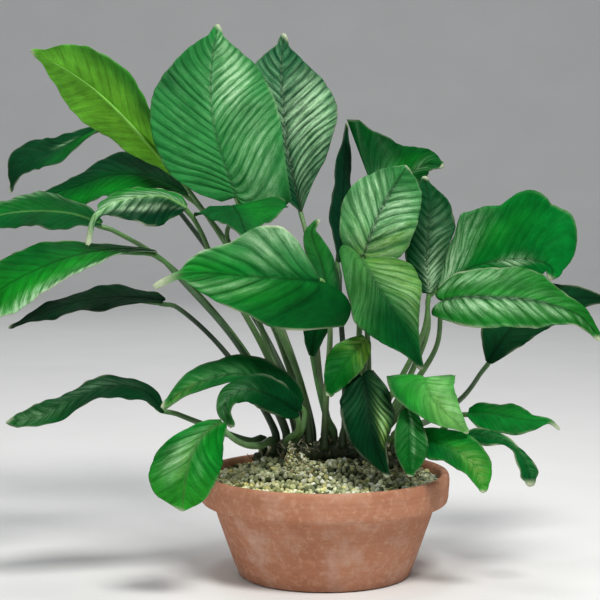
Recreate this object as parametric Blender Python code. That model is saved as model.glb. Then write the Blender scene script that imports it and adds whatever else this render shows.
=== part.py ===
"""Potted anubias: a clay pan of gravel, a creeping rhizome and 31 leaves, each a stalk and blade in one.

Units in the tables are millimetres. +Z is up, X runs to the right of the front view and Y away from it.
The origin is the middle of the pot's base.

The leaves are laid out on a front drawing: a grid of 600 columns and rows, seen in perspective from an eye that
looks slightly down. A point of the layout is (column, row, depth), where depth is the point's own Y in mm.
"""
import math

import bmesh
import bpy
import numpy as np
from mathutils import Vector

MM = 0.001

# ---- pot, gravel and rhizome -------------------------------------------------------------------------------------
POT_BASE_R = 57.0
POT_RIM_R = 82.0
POT_H = 68.0
POT_FLOOR = 7.0
POT_SIDES = 40
GAP = 0.3
GRAVEL_EDGE_Z = 63.5
GRAVEL_MOUND = 10.0
GRAVEL_SIDES = 32

POT_PROFILE = [  # (radius, height), outside up and inside down
    (POT_BASE_R - 2, 0), (POT_BASE_R, 2), (72, 45), (73, 47.5), (79.5, 48.5), (81, 50.5),
    (POT_RIM_R, POT_H - 2.5), (POT_RIM_R - 1.5, POT_H), (77.5, POT_H), (76, POT_H - 1.5), (74.6, 50), (68.5, 44),
    (POT_BASE_R - 4, 10), (POT_BASE_R - 7, POT_FLOOR),
]

# ---- stalk and blade sections ------------------------------------------------------------------------------------
STALK_R = (2.4, 1.6)      # at the foot and at the blade
FOOT_FLARE = 1.15
FOOT_RISE = 7.0           # how far a stalk leaves its foot upright
BLADE_T = (1.3, 0.7)      # at the rib and near the margin
STATIONS = [0, .1, .25, .4, .55, .7, .85, .93, 1.0]                 # places along a blade where its width is given
BLADE_RINGS = [.06, .15, .28, .43, .6, .77, .91, .985]              # places along a blade where the solid has a ring
STALK_STEP = 32.0
STALK_END = 5.0           # the last ring's distance below the blade
NECK, NECK_LIMIT, NECK_SIDE = 8.0, 0.6, 0.45

# ---- the front drawing -------------------------------------------------------------------------------------------
TILT = math.radians(5.5)
DISTANCE = 1300.0
SPREAD = 2000.0
MIDDLE = np.array([-16.0, 0.0, 180.5])
AHEAD = np.array([0.0, math.cos(TILT), -math.sin(TILT)])
ACROSS = np.array([1.0, 0.0, 0.0])
UPWARD = np.array([0.0, math.sin(TILT), math.cos(TILT)])
EYE = MIDDLE - DISTANCE * AHEAD


def at(column, row, depth):
    """The point in mm that the front drawing shows at this column and row, at this Y."""
    ray = AHEAD + ACROSS * ((column - 300.0) / SPREAD) - UPWARD * ((row - 300.0) / SPREAD)
    return EYE + (depth - EYE[1]) / ray[1] * ray


# ---- leaves ------------------------------------------------------------------------------------------------------
# foot: where the stalk stands on the rhizome (mm). stalk: points that it passes. rib: the blade's midrib, base to tip.
# right, left: half-widths in mm at STATIONS, to either side as seen from the base with the face up.
# roll: the blade's turn about its rib at the base, middle and tip; 0 faces the front. fold: how far each half
# is raised (+) or lowered (-). lobe: how far each half's base reaches back past the stalk. wave: height, count, start.
LEAVES = [
    dict(name="leaf_top_tall", foot=(-8, 5, 87.3), stalk=[(300, 380, 16), (268, 290, 26), (246, 225, 26)],
         rib=[(236, 197, 22), (227, 170, 26), (217, 138, 38), (211, 100, 54), (212, 62, 72), (218, 24, 92)],
         right=[34, 38, 43, 44, 41, 33, 16, 5, 0], left=[10, 26, 38, 42, 40, 32, 15, 5, 0], fold=(6, -4), lobe=(18, 0)),
    dict(name="leaf_top_right", foot=(3, 6, 87.7), stalk=[(320, 380, 22), (309, 250, 38)],
         rib=[(301, 211, 44), (293, 180, 50), (286, 145, 60), (283, 108, 72), (281, 70, 88), (284, 33, 104)],
         right=[1, 10, 25, 33, 37, 30, 14, 4, 0], left=[1, 10, 22, 28, 30, 26, 13, 4, 0], roll=(10, 8, 5)),
    dict(name="leaf_top_left_back_lit", foot=(-12, 19, 85.4), stalk=[(275, 330, 34), (220, 235, 49)],
         rib=[(174, 170, 66), (150, 143, 72), (121, 112, 78), (92, 86, 82), (62, 66, 86), (30, 50, 88)],
         right=[5, 10, 19, 26, 29, 27, 15, 5, 0], left=[5, 10, 19, 26, 29, 27, 15, 5, 0], roll=(140, 140, 140), lobe=(2, 2)),
    dict(name="leaf_back_left_drooping", foot=(-13, 27, 84.7), stalk=[(262, 330, 62), (170, 200, 106)],
         rib=[(99, 127, 116), (75, 139, 119), (52, 152, 121), (32, 160, 122), (18, 172, 121), (10, 193, 120)],
         right=[2, 7, 11.5, 16, 24, 26, 12, 3, 0], left=[2, 8, 13, 19, 17, 12, 6, 2.5, 0], roll=(55, 55, 50), wave=(0.7, 2.5, 0)),
    dict(name="leaf_back_left_long", foot=(-19, 13, 85.5), stalk=[(262, 330, 46), (225, 240, 65)],
         rib=[(186, 192, 70), (152, 177, 78), (112, 175, 82), (75, 187, 86), (48, 195, 86), (22, 200, 86)],
         right=[4, 16, 25, 28, 24, 13, 6, 3, 0], left=[4, 18, 28, 30, 28, 20, 10, 3, 0], roll=(58, 56, 50), lobe=(3, 3)),
    dict(name="leaf_left_mid", foot=(-25, 5, 86.4), stalk=[(245, 352, 22), (165, 262, 26)],
         rib=[(98, 222, 20), (74, 214, 18), (40, 211, 14), (5, 214, 10), (-38, 228, 4)],
         right=[4, 15, 24, 26, 24, 17, 8, 3, 0], left=[4, 14, 22, 24, 22, 16, 8, 3, 0], roll=(62, 60, 50), lobe=(3, 3)),
    dict(name="leaf_left_curled", foot=(-17, 0, 87.2), stalk=[(262, 345, 4), (214, 262, 0), (202, 234, -3)],
         rib=[(187, 207, -14), (165, 196, -22), (140, 196, -29), (118, 201, -34), (103, 209, -38), (93, 220, -41), (87, 246, -42)],
         right=[2, 13, 22, 24, 19, 9, 3, 2.5, 0], left=[2, 13, 21, 23, 17, 7, 3, 2.5, 0], roll=(30, 30, 10), fold=(-50, 0)),
    dict(name="leaf_left_bright", foot=(-25, -3, 86.4), stalk=[(238, 345, 0), (174, 272, -8)],
         rib=[(155, 251, -12), (120, 249, -18), (80, 254, -26), (40, 268, -34), (0, 290, -41), (-48, 336, -46)],
         right=[4, 9, 15, 21, 26, 27, 17, 6, 0], left=[4, 9, 15, 21, 25, 25, 15, 5, 0], roll=(82, 50, 40), lobe=(1, 1)),
    dict(name="leaf_left_dim", foot=(-32, 1, 85.7), stalk=[(225, 352, 26), (178, 308, 36)],
         rib=[(160, 300, 38), (125, 297, 44), (85, 301, 50), (45, 312, 54), (8, 328, 54)],
         right=[4, 16, 24, 26, 24, 17, 8, 3, 0], left=[4, 15, 22, 24, 22, 16, 8, 3, 0], roll=(72, 72, 65), lobe=(3, 3)),
    dict(name="leaf_low_left_narrow", foot=(-40, -5, 83.12), stalk=[(250, 441, -13), (205, 425, -26)],
         rib=[(162, 408, -34), (144, 391, -40), (119, 386, -45), (94, 391, -49), (68, 403, -51), (40, 416, -53), (5, 423, -54)],
         right=[4, 12, 17, 18, 16.5, 14, 10, 7, 0], left=[4, 12, 17, 18, 16.5, 14, 10, 7, 0], roll=(72, 70, 50), lobe=(2, 2)),
    dict(name="leaf_low_left_arching", foot=(-19, -8, 83.5), stalk=[(302, 430, -18)],
         rib=[(299, 404, -22), (272, 384, -32), (238, 374, -40), (205, 380, -46), (180, 393, -50), (161, 409, -52)],
         right=[5, 13, 15, 14, 13, 11, 6, 3, 0], left=[5, 12, 13, 11, 7, 6, 4, 3, 0], roll=(35, 35, 30), lobe=(2, 2)),
    dict(name="leaf_low_left_short", foot=(-25, -13, 82.3), stalk=[(298, 430, -28)],
         rib=[(298, 411, -38), (270, 395, -47), (246, 389, -53), (229, 396, -56), (225, 411, -57), (233, 428, -57)],
         right=[4, 9, 12, 11, 8.5, 6.5, 5, 3, 0], left=[4, 9, 11, 11, 9, 7, 4, 3, 0], roll=(25, 25, 20), lobe=(2, 2)),
    dict(name="leaf_bottom_left_round", foot=(-34, -10, 82.6), stalk=[(262, 445, -24), (243, 444, -50), (228, 434, -64)],
         rib=[(222, 422, -68), (210, 429, -74), (199, 440, -80), (191, 456, -85), (186, 476, -88), (182, 512, -86)],
         right=[2, 5, 9, 16, 21.5, 23, 18, 10, 0], left=[4, 11, 18, 20, 20, 18, 14, 8, 0], fold=(-6, -6), lobe=(0, 2)),
    dict(name="leaf_under_top", foot=(-10, -2, 87.2), stalk=[(300, 380, -2), (258, 290, 4), (227, 236, 14)],
         rib=[(231, 205, 12), (235, 209, -6), (240, 217, -22), (244, 228, -34), (248, 240, -42)],
         right=[14, 24, 27, 24, 19, 13, 6, 3, 0], left=[16, 27, 34, 34, 27, 18, 8, 3, 0], roll=(-38, -30, -12)),
    dict(name="leaf_glossy_middle", foot=(0, -8, 84.9), stalk=[(326, 400, -12), (330, 325, -26)],
         rib=[(320, 281, -43), (290, 279, -53), (262, 277, -60), (235, 275, -65), (205, 273, -70), (180, 275, -74), (152, 288, -76)],
         right=[1.5, 22, 33, 31, 20, 13.5, 4, 3.4, 0], left=[28, 32, 31, 25, 19.5, 12, 4, 3.4, 0], roll=(5, 0, 0), fold=(-10, -12), lobe=(0, 23)),
    dict(name="leaf_hanging_folded", foot=(24, -3, 87.2), stalk=[(368, 380, -6), (366, 300, -8)],
         rib=[(363, 260, -22), (377, 284, -34), (394, 312, -44), (411, 343, -46), (422, 370, -42)],
         right=[11.5, 16.5, 21, 24, 20.5, 14.5, 6.5, 3, 0], left=[5, 18, 26, 24.5, 17, 9, 4, 2.5, 0], fold=(-10, -10), lobe=(17, 0)),
    dict(name="leaf_upright_ribbed", foot=(17, 3, 87.8), stalk=[(358, 380, 2), (360, 290, -2)],
         rib=[(364, 255, -6), (372, 232, -6), (380, 212, 0), (392, 190, 12), (407, 166, 30)],
         right=[13, 23, 26, 26, 24, 21, 15, 9, 0], left=[12, 19, 23, 25, 23, 17, 10, 5, 0], lobe=(4, 3)),
    dict(name="leaf_back_curled_tip", foot=(18, 16, 86.1), stalk=[(358, 360, 30), (362, 240, 56)],
         rib=[(371, 184, 67), (390, 180, 72), (408, 174, 74), (428, 164, 72), (444, 166, 66)],
         right=[8, 14, 16, 16, 13, 9, 5, 3, 0], left=[51, 50, 42.5, 34, 24.5, 15, 7, 3.5, 0], roll=(-20, -20, -20), wave=(0.8, 2.5, 0)),
    dict(name="leaf_back_dim", foot=(14, 24, 85.5), stalk=[(345, 380, 36), (340, 300, 60)],
         rib=[(340, 262, 74), (341, 225, 82), (343, 190, 90), (345, 155, 98), (347, 122, 106)],
         right=[2, 7, 11, 12, 11, 8, 4, 2, 0], left=[2, 7, 11, 12, 11, 8, 4, 2, 0], roll=(50, 50, 50)),
    dict(name="leaf_dark_behind_ribbed", foot=(31, 4, 87.2), stalk=[(400, 380, 12), (424, 330, 14)],
         rib=[(429, 293, 12), (427, 265, 16), (428, 235, 22), (429, 205, 32), (424, 176, 44)],
         right=[3, 8, 12, 14, 17, 15, 7, 3, 0], left=[4, 10, 14, 15, 15, 12, 6, 3, 0], roll=(-5, -5, -5)),
    dict(name="leaf_right_broad", foot=(38, 12, 84.5), stalk=[(408, 380, 20), (428, 330, 22)],
         rib=[(438, 290, 24), (465, 270, 26), (497, 261, 28), (530, 260, 32), (551, 267, 34), (551, 281, 35)],
         right=[3, 8, 14, 18, 18, 14, 8, 4, 0], left=[3, 9, 22, 35.5, 38.5, 47.5, 36, 11, 0], roll=(-5, -5, -5), wave=(3, 2.6, .4)),
    dict(name="leaf_right_long", foot=(38, 0, 86.3), stalk=[(410, 390, -4), (437, 345, -12)],
         rib=[(443, 300, -22), (460, 297, -28), (492, 297, -36), (524, 299, -40), (556, 306, -42), (580, 316, -42), (602, 341, -42)],
         right=[12, 20, 25, 25, 21, 13, 7, 3.5, 0], left=[12, 20, 25, 26, 21, 12, 6, 3.5, 0], roll=(-42, -40, -30), lobe=(7, 7)),
    dict(name="leaf_right_back", foot=(46, 3, 84.7), stalk=[(430, 420, 10), (463, 397, 12)],
         rib=[(488, 362, 16), (508, 332, 24), (538, 309, 34), (575, 298, 44), (612, 300, 50)],
         right=[3, 9, 14, 16, 15, 11, 6, 3, 0], left=[2, 11, 20, 20, 17, 12, 6, 3, 0], roll=(-25, -25, -25)),
    dict(name="leaf_bottom_bright", foot=(30, -10, 84.3), stalk=[(385, 430, -20), (414, 396, -40)],
         rib=[(425, 377, -50), (427, 388, -57), (433, 399, -62), (444, 411, -65), (456, 422, -66), (468, 433, -64)],
         right=[24, 24, 19, 14, 11, 7.5, 3.5, 2, 0], left=[16, 18.5, 18, 15, 12.5, 8.5, 4.5, 2.5, 0], fold=(6, 6), lobe=(4, 0)),
    dict(name="leaf_bottom_dark", foot=(22, -12, 83.9), stalk=[(350, 436, -18), (356, 400, -22)],
         rib=[(362, 376, -33), (367, 395, -42), (370, 418, -50), (375, 443, -56), (388, 478, -58)],
         right=[10, 13, 17, 17.5, 16, 12, 5.5, 2.5, 0], left=[8, 11, 15, 16, 13, 7, 4, 2.5, 0], lobe=(4, 3)),
    dict(name="leaf_bottom_puckered", foot=(38, -9, 83.2), stalk=[(392, 438, -28), (403, 422, -38)],
         rib=[(407, 408, -52), (409, 430, -60), (409, 455, -64), (411, 477, -62)],
         right=[2, 6, 8, 9, 9, 7.5, 5, 3, 0], left=[2, 6, 9, 11, 12, 11, 7, 3, 0]),
    dict(name="leaf_bottom_pointed", foot=(45, -12, 82.6), stalk=[(402, 443, -30), (409, 440, -42)],
         rib=[(415, 436, -50), (435, 442, -58), (455, 450, -64), (472, 463, -67), (485, 493, -66)],
         right=[4, 8, 11, 10, 10, 8, 5, 3, 0], left=[4, 7, 10, 12, 13, 12, 8, 4.5, 0], roll=(-15, -15, -15), lobe=(1, 1)),
    dict(name="leaf_right_low_curled", foot=(53, -2, 83.2), stalk=[(430, 436, -8), (455, 420, -14)],
         rib=[(468, 412, -12), (490, 413, -19), (512, 417, -23), (535, 421, -26), (549, 421, -27), (560, 430, -27)],
         right=[3, 9, 14, 15.5, 13, 7.5, 2.2, 1.4, 0], left=[3, 7, 8.5, 9.5, 8.5, 5.5, 2, 1.4, 0], roll=(-40, -40, -40)),
    dict(name="leaf_right_low_twisted", foot=(53, -10, 81.7), stalk=[(430, 444, -18), (452, 436, -24)],
         rib=[(468, 434, -34), (490, 438, -42), (507, 442, -47), (518, 452, -50), (526, 466, -52), (532, 487, -53)],
         right=[2.5, 5, 5.5, 4, 2.4, 5.6, 6.6, 3.6, 0], left=[3, 5, 6, 4, 2.6, 5.8, 7, 3.8, 0], roll=(-25, -35, -20)),
    dict(name="leaf_small_yellow_green", foot=(12, -7, 86.3), stalk=[(355, 400, -12), (366, 355, -16)],
         rib=[(366, 338, -24), (356, 350, -31), (345, 364, -36), (335, 380, -40), (328, 397, -42)],
         right=[3, 6, 10, 12.5, 12.5, 9.5, 5, 2.5, 0], left=[4, 7, 10, 11, 10.5, 9, 6, 3, 0]),
    dict(name="leaf_behind_glossy", foot=(6, -1, 87.7), stalk=[(328, 420, -2), (318, 385, -8)],
         rib=[(312, 356, -18), (317, 325, -20), (325, 295, -16), (322, 265, -8), (314, 243, -2), (312, 230, 0), (320, 219, 2)],
         right=[2, 5, 9, 10, 9, 8, 5, 2, 0], left=[2, 6, 9, 9, 8, 8, 6, 2.5, 0]),
]

# The rhizome: a thick creeping stem with side branches, (x, y, z, radius) in mm along each.
RHIZOME = [
    [(-45, -7, 76.5, 4.5), (-38, -5, 77, 6.5), (-25, 0, 79.5, 7), (-10, 1, 80.5, 7), (8, 0, 81, 7), (24, 0, 80.5, 7),
     (40, -1, 79, 7), (53, -5, 76.5, 6.2), (60, -7, 75.5, 4)],
    [(-19, 2, 79.5, 5), (-17, 14, 79.5, 6.2), (-13, 26, 79, 6), (-12, 33, 78.5, 4)],
    [(15, 2, 80, 5), (17, 14, 80.3, 6), (14, 25, 79.6, 5.8), (12, 31, 79, 4)],
    [(35, 0, 79, 5), (38, 10, 78.8, 6), (39, 17, 78, 4)],
    [(-22, 0, 78.5, 5), (-26, -12, 76.2, 5.8), (-28, -19, 75, 4)],
    [(26, 0, 79.5, 5), (26, -11, 78, 6), (25, -17, 77, 4)],
    [(41, -2, 78.5, 5), (43, -11, 76.8, 5.6), (44, -17, 76, 4)],
]

GREENS = {  # blade colours, linear
    "leaf_top_left_back_lit": (0.17, 0.40, 0.02), "leaf_bottom_bright": (0.13, 0.42, 0.07),
    "leaf_small_yellow_green": (0.13, 0.34, 0.03), "leaf_glossy_middle": (0.03, 0.24, 0.05),
    "leaf_left_bright": (0.03, 0.26, 0.03), "leaf_right_long": (0.035, 0.25, 0.045),
    "leaf_upright_ribbed": (0.05, 0.25, 0.07), "leaf_top_tall": (0.02, 0.16, 0.05),
}
GREEN = (0.012, 0.12, 0.03)


def unit(v):
    return v / (np.linalg.norm(v, axis=-1, keepdims=True) + 1e-12)


def ease(x):
    x = np.clip(x, 0, 1)
    return x * x * (3 - 2 * x)


def curve(points, fine=30):
    """A smooth path through the points, and its length so far at each of its own points."""
    p = np.array(points, float)
    p = np.vstack([2 * p[0] - p[1], p, 2 * p[-1] - p[-2]])
    out = []
    for i in range(1, len(p) - 2):
        a, b, c, e = p[i - 1:i + 3]
        t0 = 0.0
        t1 = t0 + max(np.linalg.norm(b - a), 1e-6) ** 0.5
        t2 = t1 + max(np.linalg.norm(c - b), 1e-6) ** 0.5
        t3 = t2 + max(np.linalg.norm(e - c), 1e-6) ** 0.5
        for t in np.linspace(t1, t2, fine, endpoint=False):
            a1 = (t1 - t) / (t1 - t0) * a + (t - t0) / (t1 - t0) * b
            a2 = (t2 - t) / (t2 - t1) * b + (t - t1) / (t2 - t1) * c
            a3 = (t3 - t) / (t3 - t2) * c + (t - t2) / (t3 - t2) * e
            b1 = (t2 - t) / (t2 - t0) * a1 + (t - t0) / (t2 - t0) * a2
            b2 = (t3 - t) / (t3 - t1) * a2 + (t - t1) / (t3 - t1) * a3
            out.append((t2 - t) / (t2 - t1) * b1 + (t - t1) / (t2 - t1) * b2)
    out.append(p[-2])
    out = np.array(out)
    return out, np.r_[0, np.cumsum(np.linalg.norm(np.diff(out, axis=0), axis=1))]


def along(path, length, s):
    return np.stack([np.interp(s, length, path[:, k]) for k in range(3)], 1)


def width(u, given):
    """Half-width at u from the half-widths at STATIONS: smooth, never overshooting, rounded off at the tip."""
    x, y = np.array(STATIONS), np.array(given, float)
    h = np.diff(x)
    d = np.diff(y) / h
    m = np.zeros(len(y))
    for i in range(1, len(y) - 1):
        if d[i - 1] * d[i] > 0:
            a, b = 2 * h[i] + h[i - 1], h[i] + 2 * h[i - 1]
            m[i] = (a + b) / (a / d[i - 1] + b / d[i])
    m[0], m[-1] = 1.5 * d[0] - 0.5 * m[1], d[-1]
    i = np.clip(np.searchsorted(x, u, side="right") - 1, 0, len(h) - 1)
    t = (u - x[i]) / h[i]
    w = ((2 * t ** 3 - 3 * t ** 2 + 1) * y[i] + (t ** 3 - 2 * t ** 2 + t) * h[i] * m[i]
         + (3 * t ** 2 - 2 * t ** 3) * y[i + 1] + (t ** 3 - t ** 2) * h[i] * m[i + 1])
    last = y[-2]
    e = np.clip((u - x[-2]) / (1 - x[-2]), 0, 1)
    blunt = np.clip((last - 3) / 4, 0, 1)
    return np.where(u > x[-2], last * ((1 - e) * blunt + np.sqrt(1 - e ** 2) * (1 - blunt)), w)


class Leaf:
    def __init__(self, name, foot, stalk, rib, right, left, roll=(0, 0, 0), fold=(0, 0), lobe=(0, 0), wave=(1.5, 2.5, 0)):
        self.name, self.foot, self.right, self.left = name, np.array(foot, float), right, left
        self.roll, self.fold, self.lobe, self.wave = roll, fold, lobe, wave
        rib = [at(*q) for q in rib]
        self.rib, self.rib_len = curve(rib)
        points = [self.foot, self.foot + np.array([0, 0, FOOT_RISE])] + [at(*q) for q in stalk]
        # a stalk that comes up under its own blade, or from its side, meets it from behind
        _, ahead, behind, side = self.frame(self.rib, self.rib_len, np.zeros(1), np.array([self.roll[0]]))
        last = unit(rib[0] - points[-1])
        come = max(0.0, float(last @ ahead[0]))
        if come < NECK_LIMIT or abs(last @ side[0]) > NECK_SIDE:
            points.append(rib[0] - NECK * unit(come * ahead[0] + (1 - come) * behind[0]))
        self.stalk, self.stalk_len = curve(points + [rib[0]])

    def frame(self, path, length, s, roll):
        """Point, direction, face and side vectors at s along a path, the blade turned by roll about the path."""
        p = along(path, length, s)
        t = unit(along(path, length, np.minimum(s + 1.5, length[-1])) - along(path, length, np.maximum(s - 1.5, 0)))
        n = unit(-AHEAD - (t @ -AHEAD)[:, None] * t)
        side = np.cross(t, n)
        roll = np.radians(roll)[:, None]
        return p, t, np.cos(roll) * n + np.sin(roll) * side, np.cos(roll) * side - np.sin(roll) * n

    def skin(self, us, vs):
        """The blade's middle surface at us along the rib and vs across it, -1 the left margin and 1 the right."""
        us, vs = np.array(us, float), np.array(vs, float)
        p, t, n, s = self.frame(self.rib, self.rib_len, us * self.rib_len[-1], np.interp(us, [0, .45, 1], self.roll))
        u, v = np.meshgrid(us, vs, indexing="ij")
        a, right = np.abs(v), v >= 0
        w = np.where(right, width(u, self.right), width(u, self.left))
        full = w / np.where(right, max(self.right), max(self.left))
        lift = np.radians(np.where(right, *self.fold)) * (1 - 0.3 * u) * np.clip(9 * u, 0, 1)
        high, count, start = self.wave
        out = np.sign(v) * np.cos(lift) * a * w
        up = np.sin(lift) * a * w
        up = up + high * a ** 2 * np.clip(full * 1.6 - 0.2, 0, 1) * np.sin(2 * np.pi * (count * u + start + 0.23 * (v > 0)))
        back = np.where(right, *self.lobe) * np.sin(0.72 * np.pi * a ** 0.7) * np.clip(1 - u / 0.3, 0, 1) ** 2
        return p[:, None] + s[:, None] * out[..., None] + n[:, None] * up[..., None] - t[:, None] * back[..., None], n

    def stalk_rings(self):
        """Six-sided rings up the stalk. Their turn is carried down from the blade's base, so nothing twists there."""
        end = self.stalk_len[-1]
        count = max(4, int(round(end / STALK_STEP)) + 1)
        s = np.r_[0, np.linspace(FOOT_RISE, end - STALK_END, count)]
        p, t, _, _ = self.frame(self.stalk, self.stalk_len, s, np.zeros(len(s)))
        _, ahead, n, side = self.frame(self.rib, self.rib_len, np.zeros(1), np.array([self.roll[0]]))
        ahead, n, side = ahead[0], n[0], side[0]
        turn = np.radians([150, 90, 30, -30, -90, -150])[:, None]
        rings = []
        for i in range(len(s))[::-1]:
            both = ahead + t[i]
            n = unit(n - (n @ t[i]) / (1 + ahead @ t[i]) * both)
            side = unit(side - (side @ t[i]) / (1 + ahead @ t[i]) * both)
            ahead = t[i]
            r = STALK_R[0] + (STALK_R[1] - STALK_R[0]) * ease(s[i] / end)
            r *= FOOT_FLARE if i == 0 else 1
            rings.append(p[i] + r * (np.cos(turn) * side + np.sin(turn) * n))
        return rings[::-1]

    def blade_rows(self, us, vs):
        """Points and outward normals of the blade's middle surface, and the thickness at the rib and beside it."""
        grid, face = self.skin(us, vs)
        normal = unit(np.cross(np.gradient(grid, axis=1), np.gradient(grid, axis=0)))
        normal = np.where((normal * face[:, None]).sum(-1, keepdims=True) < 0, -normal, normal)
        return grid, normal

    def base_ring(self):
        """Twelve points round the blade's base; the inner six take the stalk."""
        w = width(np.array([0.0]), self.left)[0], width(np.array([0.0]), self.right)[0]
        el, er = (min(1.5 / max(x, 0.1), 0.42) for x in w)
        vs = [-1, -.5, -el, 0, er, .5, 1]
        grid, normal = self.blade_rows([0, .05], vs)
        g, q = grid[0].copy(), normal[0]
        _, _, _, side = self.frame(self.rib, self.rib_len, np.zeros(1), np.array([self.roll[0]]))
        g[2], g[4] = g[3] - side[0] * el * w[0], g[3] + side[0] * er * w[1]
        q[2] = q[4] = q[3]
        up = np.array([0, BLADE_T[1], STALK_R[1] * .8, STALK_R[1] * .8, STALK_R[1] * .8, BLADE_T[1], 0])[:, None]
        down = np.array([0, BLADE_T[1], STALK_R[1] * .8, STALK_R[1], STALK_R[1] * .8, BLADE_T[1], 0])[:, None]
        return np.vstack([g + q * up, (g - q * down)[5:0:-1]])

    def blade_rings(self):
        """Eight-sided flat rings from just past the base to the tip."""
        grid, normal = self.blade_rows([0] + BLADE_RINGS, [-1, -.5, 0, .5, 1])
        rings = []
        for u, g, q in list(zip([0] + BLADE_RINGS, grid, normal))[1:]:
            slim = np.linalg.norm(g[4] - g[0])
            thin = min(1 - 0.45 * u, 0.3 * slim / BLADE_T[1])
            up = np.array([0, BLADE_T[1], BLADE_T[0] / 2, BLADE_T[1], 0])[:, None] * thin
            down = np.array([0, BLADE_T[1], BLADE_T[0], BLADE_T[1], 0])[:, None] * thin
            rings.append(np.vstack([g + q * up, (g - q * down)[3:0:-1]]))
        return rings
# ---- end of the layout -------------------------------------------------------------------------------------------


def material(name, colour, rough):
    m = bpy.data.materials.new(name)
    m.use_nodes = True
    shader = m.node_tree.nodes["Principled BSDF"]
    shader.inputs["Base Color"].default_value = (*colour, 1)
    shader.inputs["Roughness"].default_value = rough
    shader.inputs["Metallic"].default_value = 0
    m.diffuse_color = (*colour, 1)
    return m


def place(name, bm, mat, origin=(0, 0, 0), smooth=True):
    """Make an object of the mesh, whose points are in mm about the origin, and set it down there."""
    bmesh.ops.scale(bm, vec=(MM, MM, MM), verts=bm.verts)
    bmesh.ops.recalc_face_normals(bm, faces=bm.faces)
    if bm.calc_volume(signed=True) < 0:
        bmesh.ops.reverse_faces(bm, faces=bm.faces)
    mesh = bpy.data.meshes.new(name)
    bm.to_mesh(mesh)
    bm.free()
    if smooth:
        mesh.shade_smooth()
        mesh.set_sharp_from_angle(angle=math.radians(50))
    mesh.materials.append(mat)
    ob = bpy.data.objects.new(name, mesh)
    ob.location = Vector(origin) * MM
    bpy.context.scene.collection.objects.link(ob)
    return ob


def strip(bm, a, b, flat=False):
    """A band of triangles between two closed rings of as many points. On a flat ring both faces fold the same way."""
    n = len(a)
    for j in range(n):
        k = (j + 1) % n
        if flat and j >= n // 2:
            bm.faces.new((a[j], a[k], b[j]))
            bm.faces.new((a[k], b[k], b[j]))
        else:
            bm.faces.new((a[j], a[k], b[k]))
            bm.faces.new((a[j], b[k], b[j]))


def cap(bm, ring):
    for j in range(1, len(ring) - 1):
        bm.faces.new((ring[0], ring[j], ring[j + 1]))


def loft(bm, rings):
    """Skin the rings one after the other and close both ends."""
    rows = [[bm.verts.new(q) for q in ring] for ring in rings]
    for a, b in zip(rows, rows[1:]):
        strip(bm, a, b)
    cap(bm, rows[0])
    cap(bm, rows[-1])


def leaf_mesh(leaf):
    """One closed skin: stalk, the blade's base with its two shoulders, and the blade."""
    bm = bmesh.new()
    stalk = [[bm.verts.new(q - leaf.foot) for q in ring] for ring in leaf.stalk_rings()]
    base = [bm.verts.new(q - leaf.foot) for q in leaf.base_ring()]
    blade = [[bm.verts.new(q - leaf.foot) for q in ring] for ring in leaf.blade_rings()]
    cap(bm, stalk[0])
    for a, b in zip(stalk, stalk[1:]):
        strip(bm, a, b)
    strip(bm, stalk[-1], [base[k] for k in (2, 3, 4, 8, 9, 10)], flat=True)
    first = blade[0]
    for a, b, c in [(4, 5, 8), (5, 7, 8), (5, 6, 7), (2, 10, 1), (1, 10, 11), (1, 11, 0)]:
        bm.faces.new((base[a], base[b], base[c]))
    # outer points join one to one; the two points beside the rib run into it
    for a, b, c, d in [(0, 1, 0, 1), (5, 6, 3, 4), (0, 11, 0, 7), (7, 6, 5, 4)]:
        bm.faces.new((base[a], base[b], first[d]))
        bm.faces.new((base[a], first[d], first[c]))
    for a, b, c, d, e in [(1, 2, 3, 1, 2), (3, 4, 5, 2, 3), (7, 8, 9, 5, 6), (9, 10, 11, 6, 7)]:
        bm.faces.new((base[a], base[b], first[d]))
        bm.faces.new((base[b], first[e], first[d]))
        bm.faces.new((base[b], base[c], first[e]))
    for a, b in zip(blade, blade[1:]):
        strip(bm, a, b, flat=True)
    cap(bm, blade[-1])
    return bm


def turned(profile, sides, top=None, bottom=None):
    """A body turned from a profile of (radius, height); top and bottom are the heights of its middle points."""
    bm = bmesh.new()
    rows = []
    for r, z in profile:
        rows.append([bm.verts.new((r * math.cos(2 * math.pi * k / sides), r * math.sin(2 * math.pi * k / sides), z)) for k in range(sides)])
    for a, b in zip(rows, rows[1:]):
        for k in range(sides):
            j = (k + 1) % sides
            bm.faces.new((a[k], a[j], b[j], b[k]))
    for row, z in ((rows[0], bottom), (rows[-1], top)):
        middle = bm.verts.new((0, 0, z))
        for k in range(sides):
            bm.faces.new((row[k], row[(k + 1) % sides], middle))
    return bm


def inside_radius(z):
    """The pot's inner radius at a height."""
    inner = sorted((z_, r) for r, z_ in POT_PROFILE[9:])
    return float(np.interp(z, [q[0] for q in inner], [q[1] for q in inner]))


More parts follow.
